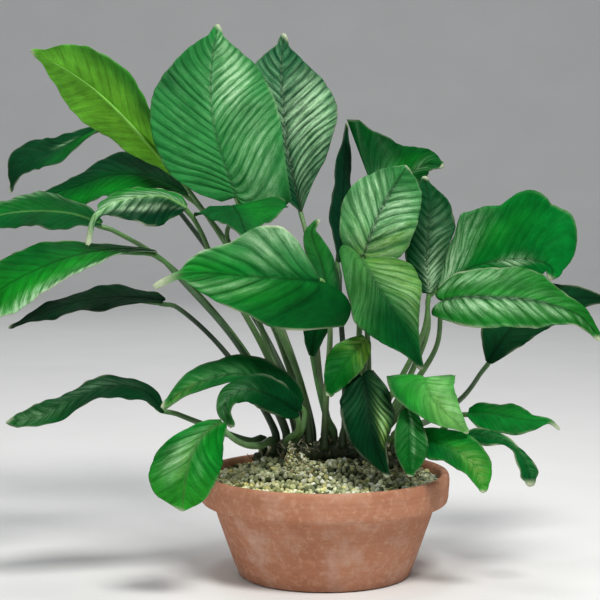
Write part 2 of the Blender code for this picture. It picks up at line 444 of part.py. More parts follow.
def build():
    for ob in list(bpy.data.objects):
        bpy.data.objects.remove(ob, do_unlink=True)

    clay = material("clay", (0.42, 0.17, 0.09), 0.85)
    stones = material("gravel", (0.55, 0.52, 0.36), 0.8)
    bark = material("rhizome", (0.05, 0.09, 0.03), 0.7)

    place("pot", turned(POT_PROFILE, POT_SIDES, top=POT_FLOOR, bottom=0), clay)

    # gravel: fills the pot to just under the rim and rises to the crown, with a gap to the clay all round
    heights = [POT_FLOOR + GAP, 10.4, 44.2, 50.2, GRAVEL_EDGE_Z]
    profile = [(inside_radius(z - 0.35) - 2.2 * GAP if z > 8 else 48.6, z) for z in heights]
    for r in (68, 57, 44, 30, 16):
        profile.append((r, GRAVEL_EDGE_Z + GRAVEL_MOUND * float(ease(1 - r / 76))))
    place("gravel", turned(profile, GRAVEL_SIDES, top=GRAVEL_EDGE_Z + GRAVEL_MOUND, bottom=POT_FLOOR + GAP), stones)

    # rhizome: a stem and its branches, lumpy tubes joined in one
    tubes = []
    for i, line in enumerate(RHIZOME):
        pts = np.array(line, float)
        path, length = curve(pts[:, :3])
        marks = np.linspace(0, length[-1], 2 * len(line) - 1)
        nodes = np.interp(np.linspace(0, len(line) - 1, len(marks)), range(len(line)), pts[:, 3])
        p = along(path, length, marks)
        t = unit(along(path, length, np.minimum(marks + 1, length[-1])) - along(path, length, np.maximum(marks - 1, 0)))
        side = unit(np.cross(t, [0, 0, 1.0]))
        up = np.cross(side, t)
        rings = []
        for k in range(len(marks)):
            r = nodes[k] * (1.0 if k % 2 else 0.95)
            ang = np.radians(np.arange(8) * 45.0 + 22.5)[:, None]
            rings.append(p[k] + r * (np.cos(ang) * side[k] + np.sin(ang) * up[k]))
        bm = bmesh.new()
        loft(bm, rings)
        tubes.append(place("rhizome" if i == 0 else "rhizome_branch_%d" % i, bm, bark))
    for branch in tubes[1:]:
        join = tubes[0].modifiers.new(branch.name, "BOOLEAN")
        join.operation = "UNION"
        join.solver = "EXACT"
        join.object = branch
        branch.hide_render = True
        branch.display_type = "WIRE"

    for spec in LEAVES:
        leaf = Leaf(**spec)
        green = material(leaf.name, GREENS.get(leaf.name, GREEN), 0.35)
        place(leaf.name, leaf_mesh(leaf), green, leaf.foot)


build()
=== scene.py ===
"""The looks of the potted anubias: blades with sunken veins and curled tips, stalks, a scarred rhizome with its roots,
loose gravel and an unglazed clay pan. Tables are in millimetres, objects in metres."""

import math

import bmesh
import bpy
import numpy as np
from mathutils import Matrix, Vector


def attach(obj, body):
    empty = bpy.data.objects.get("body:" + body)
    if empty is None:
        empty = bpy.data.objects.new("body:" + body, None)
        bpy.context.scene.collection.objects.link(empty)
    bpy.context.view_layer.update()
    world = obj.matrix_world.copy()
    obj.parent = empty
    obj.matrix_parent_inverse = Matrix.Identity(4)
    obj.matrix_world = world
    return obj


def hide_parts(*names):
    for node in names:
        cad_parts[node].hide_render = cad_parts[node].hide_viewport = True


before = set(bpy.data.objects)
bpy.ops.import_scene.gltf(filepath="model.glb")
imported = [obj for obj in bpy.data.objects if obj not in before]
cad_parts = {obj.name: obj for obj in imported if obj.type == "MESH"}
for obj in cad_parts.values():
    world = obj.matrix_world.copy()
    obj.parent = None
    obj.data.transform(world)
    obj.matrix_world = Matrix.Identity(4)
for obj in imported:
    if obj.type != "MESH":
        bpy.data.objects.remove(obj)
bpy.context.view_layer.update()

MM = 0.001

# ---- pot, gravel and rhizome -------------------------------------------------------------------------------------
POT_BASE_R = 57.0
POT_RIM_R = 82.0
POT_H = 68.0
POT_FLOOR = 7.0
POT_SIDES = 40
GAP = 0.3
GRAVEL_EDGE_Z = 63.5
GRAVEL_MOUND = 10.0
GRAVEL_SIDES = 32

POT_PROFILE = [  # (radius, height), outside up and inside down
    (POT_BASE_R - 2, 0), (POT_BASE_R, 2), (72, 45), (73, 47.5), (79.5, 48.5), (81, 50.5),
    (POT_RIM_R, POT_H - 2.5), (POT_RIM_R - 1.5, POT_H), (77.5, POT_H), (76, POT_H - 1.5), (74.6, 50), (68.5, 44),
    (POT_BASE_R - 4, 10), (POT_BASE_R - 7, POT_FLOOR),
]

# ---- stalk and blade sections ------------------------------------------------------------------------------------
STALK_R = (2.4, 1.6)      # at the foot and at the blade
FOOT_FLARE = 1.15
FOOT_RISE = 7.0           # how far a stalk leaves its foot upright
BLADE_T = (1.3, 0.7)      # at the rib and near the margin
STATIONS = [0, .1, .25, .4, .55, .7, .85, .93, 1.0]                 # places along a blade where its width is given
BLADE_RINGS = [.06, .15, .28, .43, .6, .77, .91, .985]              # places along a blade where the solid has a ring
STALK_STEP = 32.0
STALK_END = 5.0           # the last ring's distance below the blade
NECK, NECK_LIMIT, NECK_SIDE = 8.0, 0.6, 0.45

# ---- the front drawing -------------------------------------------------------------------------------------------
TILT = math.radians(5.5)
DISTANCE = 1300.0
SPREAD = 2000.0
MIDDLE = np.array([-16.0, 0.0, 180.5])
AHEAD = np.array([0.0, math.cos(TILT), -math.sin(TILT)])
ACROSS = np.array([1.0, 0.0, 0.0])
UPWARD = np.array([0.0, math.sin(TILT), math.cos(TILT)])
EYE = MIDDLE - DISTANCE * AHEAD


def at(column, row, depth):
    """The point in mm that the front drawing shows at this column and row, at this Y."""
    ray = AHEAD + ACROSS * ((column - 300.0) / SPREAD) - UPWARD * ((row - 300.0) / SPREAD)
    return EYE + (depth - EYE[1]) / ray[1] * ray


# ---- leaves ------------------------------------------------------------------------------------------------------
# foot: where the stalk stands on the rhizome (mm). stalk: points that it passes. rib: the blade's midrib, base to tip.
# right, left: half-widths in mm at STATIONS, to either side as seen from the base with the face up.
# roll: the blade's turn about its rib at the base, middle and tip; 0 faces the front. fold: how far each half
# is raised (+) or lowered (-). lobe: how far each half's base reaches back past the stalk. wave: height, count, start.
LEAVES = [
    dict(name="leaf_top_tall", foot=(-8, 5, 87.3), stalk=[(300, 380, 16), (268, 290, 26), (246, 225, 26)],
         rib=[(236, 197, 22), (227, 170, 26), (217, 138, 38), (211, 100, 54), (212, 62, 72), (218, 24, 92)],
         right=[34, 38, 43, 44, 41, 33, 16, 5, 0], left=[10, 26, 38, 42, 40, 32, 15, 5, 0], fold=(6, -4), lobe=(18, 0)),
    dict(name="leaf_top_right", foot=(3, 6, 87.7), stalk=[(320, 380, 22), (309, 250, 38)],
         rib=[(301, 211, 44), (293, 180, 50), (286, 145, 60), (283, 108, 72), (281, 70, 88), (284, 33, 104)],
         right=[1, 10, 25, 33, 37, 30, 14, 4, 0], left=[1, 10, 22, 28, 30, 26, 13, 4, 0], roll=(10, 8, 5)),
    dict(name="leaf_top_left_back_lit", foot=(-12, 19, 85.4), stalk=[(275, 330, 34), (220, 235, 49)],
         rib=[(174, 170, 66), (150, 143, 72), (121, 112, 78), (92, 86, 82), (62, 66, 86), (30, 50, 88)],
         right=[5, 10, 19, 26, 29, 27, 15, 5, 0], left=[5, 10, 19, 26, 29, 27, 15, 5, 0], roll=(140, 140, 140), lobe=(2, 2)),
    dict(name="leaf_back_left_drooping", foot=(-13, 27, 84.7), stalk=[(262, 330, 62), (170, 200, 106)],
         rib=[(99, 127, 116), (75, 139, 119), (52, 152, 121), (32, 160, 122), (18, 172, 121), (10, 193, 120)],
         right=[2, 7, 11.5, 16, 24, 26, 12, 3, 0], left=[2, 8, 13, 19, 17, 12, 6, 2.5, 0], roll=(55, 55, 50), wave=(0.7, 2.5, 0)),
    dict(name="leaf_back_left_long", foot=(-19, 13, 85.5), stalk=[(262, 330, 46), (225, 240, 65)],
         rib=[(186, 192, 70), (152, 177, 78), (112, 175, 82), (75, 187, 86), (48, 195, 86), (22, 200, 86)],
         right=[4, 16, 25, 28, 24, 13, 6, 3, 0], left=[4, 18, 28, 30, 28, 20, 10, 3, 0], roll=(58, 56, 50), lobe=(3, 3)),
    dict(name="leaf_left_mid", foot=(-25, 5, 86.4), stalk=[(245, 352, 22), (165, 262, 26)],
         rib=[(98, 222, 20), (74, 214, 18), (40, 211, 14), (5, 214, 10), (-38, 228, 4)],
         right=[4, 15, 24, 26, 24, 17, 8, 3, 0], left=[4, 14, 22, 24, 22, 16, 8, 3, 0], roll=(62, 60, 50), lobe=(3, 3)),
    dict(name="leaf_left_curled", foot=(-17, 0, 87.2), stalk=[(262, 345, 4), (214, 262, 0), (202, 234, -3)],
         rib=[(187, 207, -14), (165, 196, -22), (140, 196, -29), (118, 201, -34), (103, 209, -38), (93, 220, -41), (87, 246, -42)],
         right=[2, 13, 22, 24, 19, 9, 3, 2.5, 0], left=[2, 13, 21, 23, 17, 7, 3, 2.5, 0], roll=(30, 30, 10), fold=(-50, 0)),
    dict(name="leaf_left_bright", foot=(-25, -3, 86.4), stalk=[(238, 345, 0), (174, 272, -8)],
         rib=[(155, 251, -12), (120, 249, -18), (80, 254, -26), (40, 268, -34), (0, 290, -41), (-48, 336, -46)],
         right=[4, 9, 15, 21, 26, 27, 17, 6, 0], left=[4, 9, 15, 21, 25, 25, 15, 5, 0], roll=(82, 50, 40), lobe=(1, 1)),
    dict(name="leaf_left_dim", foot=(-32, 1, 85.7), stalk=[(225, 352, 26), (178, 308, 36)],
         rib=[(160, 300, 38), (125, 297, 44), (85, 301, 50), (45, 312, 54), (8, 328, 54)],
         right=[4, 16, 24, 26, 24, 17, 8, 3, 0], left=[4, 15, 22, 24, 22, 16, 8, 3, 0], roll=(72, 72, 65), lobe=(3, 3)),
    dict(name="leaf_low_left_narrow", foot=(-40, -5, 83.12), stalk=[(250, 441, -13), (205, 425, -26)],
         rib=[(162, 408, -34), (144, 391, -40), (119, 386, -45), (94, 391, -49), (68, 403, -51), (40, 416, -53), (5, 423, -54)],
         right=[4, 12, 17, 18, 16.5, 14, 10, 7, 0], left=[4, 12, 17, 18, 16.5, 14, 10, 7, 0], roll=(72, 70, 50), lobe=(2, 2)),
    dict(name="leaf_low_left_arching", foot=(-19, -8, 83.5), stalk=[(302, 430, -18)],
         rib=[(299, 404, -22), (272, 384, -32), (238, 374, -40), (205, 380, -46), (180, 393, -50), (161, 409, -52)],
         right=[5, 13, 15, 14, 13, 11, 6, 3, 0], left=[5, 12, 13, 11, 7, 6, 4, 3, 0], roll=(35, 35, 30), lobe=(2, 2)),
    dict(name="leaf_low_left_short", foot=(-25, -13, 82.3), stalk=[(298, 430, -28)],
         rib=[(298, 411, -38), (270, 395, -47), (246, 389, -53), (229, 396, -56), (225, 411, -57), (233, 428, -57)],
         right=[4, 9, 12, 11, 8.5, 6.5, 5, 3, 0], left=[4, 9, 11, 11, 9, 7, 4, 3, 0], roll=(25, 25, 20), lobe=(2, 2)),
    dict(name="leaf_bottom_left_round", foot=(-34, -10, 82.6), stalk=[(262, 445, -24), (243, 444, -50), (228, 434, -64)],
         rib=[(222, 422, -68), (210, 429, -74), (199, 440, -80), (191, 456, -85), (186, 476, -88), (182, 512, -86)],
         right=[2, 5, 9, 16, 21.5, 23, 18, 10, 0], left=[4, 11, 18, 20, 20, 18, 14, 8, 0], fold=(-6, -6), lobe=(0, 2)),
    dict(name="leaf_under_top", foot=(-10, -2, 87.2), stalk=[(300, 380, -2), (258, 290, 4), (227, 236, 14)],
         rib=[(231, 205, 12), (235, 209, -6), (240, 217, -22), (244, 228, -34), (248, 240, -42)],
         right=[14, 24, 27, 24, 19, 13, 6, 3, 0], left=[16, 27, 34, 34, 27, 18, 8, 3, 0], roll=(-38, -30, -12)),
    dict(name="leaf_glossy_middle", foot=(0, -8, 84.9), stalk=[(326, 400, -12), (330, 325, -26)],
         rib=[(320, 281, -43), (290, 279, -53), (262, 277, -60), (235, 275, -65), (205, 273, -70), (180, 275, -74), (152, 288, -76)],
         right=[1.5, 22, 33, 31, 20, 13.5, 4, 3.4, 0], left=[28, 32, 31, 25, 19.5, 12, 4, 3.4, 0], roll=(5, 0, 0), fold=(-10, -12), lobe=(0, 23)),
    dict(name="leaf_hanging_folded", foot=(24, -3, 87.2), stalk=[(368, 380, -6), (366, 300, -8)],
         rib=[(363, 260, -22), (377, 284, -34), (394, 312, -44), (411, 343, -46), (422, 370, -42)],
         right=[11.5, 16.5, 21, 24, 20.5, 14.5, 6.5, 3, 0], left=[5, 18, 26, 24.5, 17, 9, 4, 2.5, 0], fold=(-10, -10), lobe=(17, 0)),
    dict(name="leaf_upright_ribbed", foot=(17, 3, 87.8), stalk=[(358, 380, 2), (360, 290, -2)],
         rib=[(364, 255, -6), (372, 232, -6), (380, 212, 0), (392, 190, 12), (407, 166, 30)],
         right=[13, 23, 26, 26, 24, 21, 15, 9, 0], left=[12, 19, 23, 25, 23, 17, 10, 5, 0], lobe=(4, 3)),
    dict(name="leaf_back_curled_tip", foot=(18, 16, 86.1), stalk=[(358, 360, 30), (362, 240, 56)],
         rib=[(371, 184, 67), (390, 180, 72), (408, 174, 74), (428, 164, 72), (444, 166, 66)],
         right=[8, 14, 16, 16, 13, 9, 5, 3, 0], left=[51, 50, 42.5, 34, 24.5, 15, 7, 3.5, 0], roll=(-20, -20, -20), wave=(0.8, 2.5, 0)),
    dict(name="leaf_back_dim", foot=(14, 24, 85.5), stalk=[(345, 380, 36), (340, 300, 60)],
         rib=[(340, 262, 74), (341, 225, 82), (343, 190, 90), (345, 155, 98), (347, 122, 106)],
         right=[2, 7, 11, 12, 11, 8, 4, 2, 0], left=[2, 7, 11, 12, 11, 8, 4, 2, 0], roll=(50, 50, 50)),
    dict(name="leaf_dark_behind_ribbed", foot=(31, 4, 87.2), stalk=[(400, 380, 12), (424, 330, 14)],
         rib=[(429, 293, 12), (427, 265, 16), (428, 235, 22), (429, 205, 32), (424, 176, 44)],
         right=[3, 8, 12, 14, 17, 15, 7, 3, 0], left=[4, 10, 14, 15, 15, 12, 6, 3, 0], roll=(-5, -5, -5)),
    dict(name="leaf_right_broad", foot=(38, 12, 84.5), stalk=[(408, 380, 20), (428, 330, 22)],
         rib=[(438, 290, 24), (465, 270, 26), (497, 261, 28), (530, 260, 32), (551, 267, 34), (551, 281, 35)],
         right=[3, 8, 14, 18, 18, 14, 8, 4, 0], left=[3, 9, 22, 35.5, 38.5, 47.5, 36, 11, 0], roll=(-5, -5, -5), wave=(3, 2.6, .4)),
    dict(name="leaf_right_long", foot=(38, 0, 86.3), stalk=[(410, 390, -4), (437, 345, -12)],
         rib=[(443, 300, -22), (460, 297, -28), (492, 297, -36), (524, 299, -40), (556, 306, -42), (580, 316, -42), (602, 341, -42)],
         right=[12, 20, 25, 25, 21, 13, 7, 3.5, 0], left=[12, 20, 25, 26, 21, 12, 6, 3.5, 0], roll=(-42, -40, -30), lobe=(7, 7)),
    dict(name="leaf_right_back", foot=(46, 3, 84.7), stalk=[(430, 420, 10), (463, 397, 12)],
         rib=[(488, 362, 16), (508, 332, 24), (538, 309, 34), (575, 298, 44), (612, 300, 50)],
         right=[3, 9, 14, 16, 15, 11, 6, 3, 0], left=[2, 11, 20, 20, 17, 12, 6, 3, 0], roll=(-25, -25, -25)),
    dict(name="leaf_bottom_bright", foot=(30, -10, 84.3), stalk=[(385, 430, -20), (414, 396, -40)],
         rib=[(425, 377, -50), (427, 388, -57), (433, 399, -62), (444, 411, -65), (456, 422, -66), (468, 433, -64)],
         right=[24, 24, 19, 14, 11, 7.5, 3.5, 2, 0], left=[16, 18.5, 18, 15, 12.5, 8.5, 4.5, 2.5, 0], fold=(6, 6), lobe=(4, 0)),
    dict(name="leaf_bottom_dark", foot=(22, -12, 83.9), stalk=[(350, 436, -18), (356, 400, -22)],
         rib=[(362, 376, -33), (367, 395, -42), (370, 418, -50), (375, 443, -56), (388, 478, -58)],
         right=[10, 13, 17, 17.5, 16, 12, 5.5, 2.5, 0], left=[8, 11, 15, 16, 13, 7, 4, 2.5, 0], lobe=(4, 3)),
    dict(name="leaf_bottom_puckered", foot=(38, -9, 83.2), stalk=[(392, 438, -28), (403, 422, -38)],
         rib=[(407, 408, -52), (409, 430, -60), (409, 455, -64), (411, 477, -62)],
         right=[2, 6, 8, 9, 9, 7.5, 5, 3, 0], left=[2, 6, 9, 11, 12, 11, 7, 3, 0]),
    dict(name="leaf_bottom_pointed", foot=(45, -12, 82.6), stalk=[(402, 443, -30), (409, 440, -42)],
         rib=[(415, 436, -50), (435, 442, -58), (455, 450, -64), (472, 463, -67), (485, 493, -66)],
         right=[4, 8, 11, 10, 10, 8, 5, 3, 0], left=[4, 7, 10, 12, 13, 12, 8, 4.5, 0], roll=(-15, -15, -15), lobe=(1, 1)),
    dict(name="leaf_right_low_curled", foot=(53, -2, 83.2), stalk=[(430, 436, -8), (455, 420, -14)],
         rib=[(468, 412, -12), (490, 413, -19), (512, 417, -23), (535, 421, -26), (549, 421, -27), (560, 430, -27)],
         right=[3, 9, 14, 15.5, 13, 7.5, 2.2, 1.4, 0], left=[3, 7, 8.5, 9.5, 8.5, 5.5, 2, 1.4, 0], roll=(-40, -40, -40)),
    dict(name="leaf_right_low_twisted", foot=(53, -10, 81.7), stalk=[(430, 444, -18), (452, 436, -24)],
         rib=[(468, 434, -34), (490, 438, -42), (507, 442, -47), (518, 452, -50), (526, 466, -52), (532, 487, -53)],
         right=[2.5, 5, 5.5, 4, 2.4, 5.6, 6.6, 3.6, 0], left=[3, 5, 6, 4, 2.6, 5.8, 7, 3.8, 0], roll=(-25, -35, -20)),
    dict(name="leaf_small_yellow_green", foot=(12, -7, 86.3), stalk=[(355, 400, -12), (366, 355, -16)],
         rib=[(366, 338, -24), (356, 350, -31), (345, 364, -36), (335, 380, -40), (328, 397, -42)],
         right=[3, 6, 10, 12.5, 12.5, 9.5, 5, 2.5, 0], left=[4, 7, 10, 11, 10.5, 9, 6, 3, 0]),
    dict(name="leaf_behind_glossy", foot=(6, -1, 87.7), stalk=[(328, 420, -2), (318, 385, -8)],
         rib=[(312, 356, -18), (317, 325, -20), (325, 295, -16), (322, 265, -8), (314, 243, -2), (312, 230, 0), (320, 219, 2)],
         right=[2, 5, 9, 10, 9, 8, 5, 2, 0], left=[2, 6, 9, 9, 8, 8, 6, 2.5, 0]),
]

# The rhizome: a thick creeping stem with side branches, (x, y, z, radius) in mm along each.
RHIZOME = [
    [(-45, -7, 76.5, 4.5), (-38, -5, 77, 6.5), (-25, 0, 79.5, 7), (-10, 1, 80.5, 7), (8, 0, 81, 7), (24, 0, 80.5, 7),
     (40, -1, 79, 7), (53, -5, 76.5, 6.2), (60, -7, 75.5, 4)],
    [(-19, 2, 79.5, 5), (-17, 14, 79.5, 6.2), (-13, 26, 79, 6), (-12, 33, 78.5, 4)],
    [(15, 2, 80, 5), (17, 14, 80.3, 6), (14, 25, 79.6, 5.8), (12, 31, 79, 4)],
    [(35, 0, 79, 5), (38, 10, 78.8, 6), (39, 17, 78, 4)],
    [(-22, 0, 78.5, 5), (-26, -12, 76.2, 5.8), (-28, -19, 75, 4)],
    [(26, 0, 79.5, 5), (26, -11, 78, 6), (25, -17, 77, 4)],
    [(41, -2, 78.5, 5), (43, -11, 76.8, 5.6), (44, -17, 76, 4)],
]

def unit(v):
    return v / (np.linalg.norm(v, axis=-1, keepdims=True) + 1e-12)


def ease(x):
    x = np.clip(x, 0, 1)
    return x * x * (3 - 2 * x)


def curve(points, fine=30):
    """A smooth path through the points, and its length so far at each of its own points."""
    p = np.array(points, float)
    p = np.vstack([2 * p[0] - p[1], p, 2 * p[-1] - p[-2]])
    out = []
    for i in range(1, len(p) - 2):
        a, b, c, e = p[i - 1:i + 3]
        t0 = 0.0
        t1 = t0 + max(np.linalg.norm(b - a), 1e-6) ** 0.5
        t2 = t1 + max(np.linalg.norm(c - b), 1e-6) ** 0.5
        t3 = t2 + max(np.linalg.norm(e - c), 1e-6) ** 0.5
        for t in np.linspace(t1, t2, fine, endpoint=False):
            a1 = (t1 - t) / (t1 - t0) * a + (t - t0) / (t1 - t0) * b
            a2 = (t2 - t) / (t2 - t1) * b + (t - t1) / (t2 - t1) * c
            a3 = (t3 - t) / (t3 - t2) * c + (t - t2) / (t3 - t2) * e
            b1 = (t2 - t) / (t2 - t0) * a1 + (t - t0) / (t2 - t0) * a2
            b2 = (t3 - t) / (t3 - t1) * a2 + (t - t1) / (t3 - t1) * a3
            out.append((t2 - t) / (t2 - t1) * b1 + (t - t1) / (t2 - t1) * b2)
    out.append(p[-2])
    out = np.array(out)
    return out, np.r_[0, np.cumsum(np.linalg.norm(np.diff(out, axis=0), axis=1))]


def along(path, length, s):
    return np.stack([np.interp(s, length, path[:, k]) for k in range(3)], 1)


def width(u, given):
    """Half-width at u from the half-widths at STATIONS: smooth, never overshooting, rounded off at the tip."""
    x, y = np.array(STATIONS), np.array(given, float)
    h = np.diff(x)
    d = np.diff(y) / h
    m = np.zeros(len(y))
    for i in range(1, len(y) - 1):
        if d[i - 1] * d[i] > 0:
            a, b = 2 * h[i] + h[i - 1], h[i] + 2 * h[i - 1]
            m[i] = (a + b) / (a / d[i - 1] + b / d[i])
    m[0], m[-1] = 1.5 * d[0] - 0.5 * m[1], d[-1]
    i = np.clip(np.searchsorted(x, u, side="right") - 1, 0, len(h) - 1)
    t = (u - x[i]) / h[i]
    w = ((2 * t ** 3 - 3 * t ** 2 + 1) * y[i] + (t ** 3 - 2 * t ** 2 + t) * h[i] * m[i]
         + (3 * t ** 2 - 2 * t ** 3) * y[i + 1] + (t ** 3 - t ** 2) * h[i] * m[i + 1])
    last = y[-2]
    e = np.clip((u - x[-2]) / (1 - x[-2]), 0, 1)
    blunt = np.clip((last - 3) / 4, 0, 1)
    return np.where(u > x[-2], last * ((1 - e) * blunt + np.sqrt(1 - e ** 2) * (1 - blunt)), w)


class Leaf:
    def __init__(self, name, foot, stalk, rib, right, left, roll=(0, 0, 0), fold=(0, 0), lobe=(0, 0), wave=(1.5, 2.5, 0)):
        self.name, self.foot, self.right, self.left = name, np.array(foot, float), right, left
        self.roll, self.fold, self.lobe, self.wave = roll, fold, lobe, wave
        rib = [at(*q) for q in rib]
        self.rib, self.rib_len = curve(rib)
        points = [self.foot, self.foot + np.array([0, 0, FOOT_RISE])] + [at(*q) for q in stalk]
        # a stalk that comes up under its own blade, or from its side, meets it from behind
        _, ahead, behind, side = self.frame(self.rib, self.rib_len, np.zeros(1), np.array([self.roll[0]]))
        last = unit(rib[0] - points[-1])
        come = max(0.0, float(last @ ahead[0]))
        if come < NECK_LIMIT or abs(last @ side[0]) > NECK_SIDE:
            points.append(rib[0] - NECK * unit(come * ahead[0] + (1 - come) * behind[0]))
        self.stalk, self.stalk_len = curve(points + [rib[0]])

    def frame(self, path, length, s, roll):
        """Point, direction, face and side vectors at s along a path, the blade turned by roll about the path."""
        p = along(path, length, s)
        t = unit(along(path, length, np.minimum(s + 1.5, length[-1])) - along(path, length, np.maximum(s - 1.5, 0)))
        n = unit(-AHEAD - (t @ -AHEAD)[:, None] * t)
        side = np.cross(t, n)
        roll = np.radians(roll)[:, None]
        return p, t, np.cos(roll) * n + np.sin(roll) * side, np.cos(roll) * side - np.sin(roll) * n

    def skin(self, us, vs):
        """The blade's middle surface at us along the rib and vs across it, -1 the left margin and 1 the right."""
        us, vs = np.array(us, float), np.array(vs, float)
        p, t, n, s = self.frame(self.rib, self.rib_len, us * self.rib_len[-1], np.interp(us, [0, .45, 1], self.roll))
        u, v = np.meshgrid(us, vs, indexing="ij")
        a, right = np.abs(v), v >= 0
        w = np.where(right, width(u, self.right), width(u, self.left))
        full = w / np.where(right, max(self.right), max(self.left))
        lift = np.radians(np.where(right, *self.fold)) * (1 - 0.3 * u) * np.clip(9 * u, 0, 1)
        high, count, start = self.wave
        out = np.sign(v) * np.cos(lift) * a * w
        up = np.sin(lift) * a * w
        up = up + high * a ** 2 * np.clip(full * 1.6 - 0.2, 0, 1) * np.sin(2 * np.pi * (count * u + start + 0.23 * (v > 0)))
        back = np.where(right, *self.lobe) * np.sin(0.72 * np.pi * a ** 0.7) * np.clip(1 - u / 0.3, 0, 1) ** 2
        return p[:, None] + s[:, None] * out[..., None] + n[:, None] * up[..., None] - t[:, None] * back[..., None], n


def inside_radius(z):
    """The pot's inner radius at a height."""
    inner = sorted((z_, r) for r, z_ in POT_PROFILE[9:])
    return float(np.interp(z, [q[0] for q in inner], [q[1] for q in inner]))


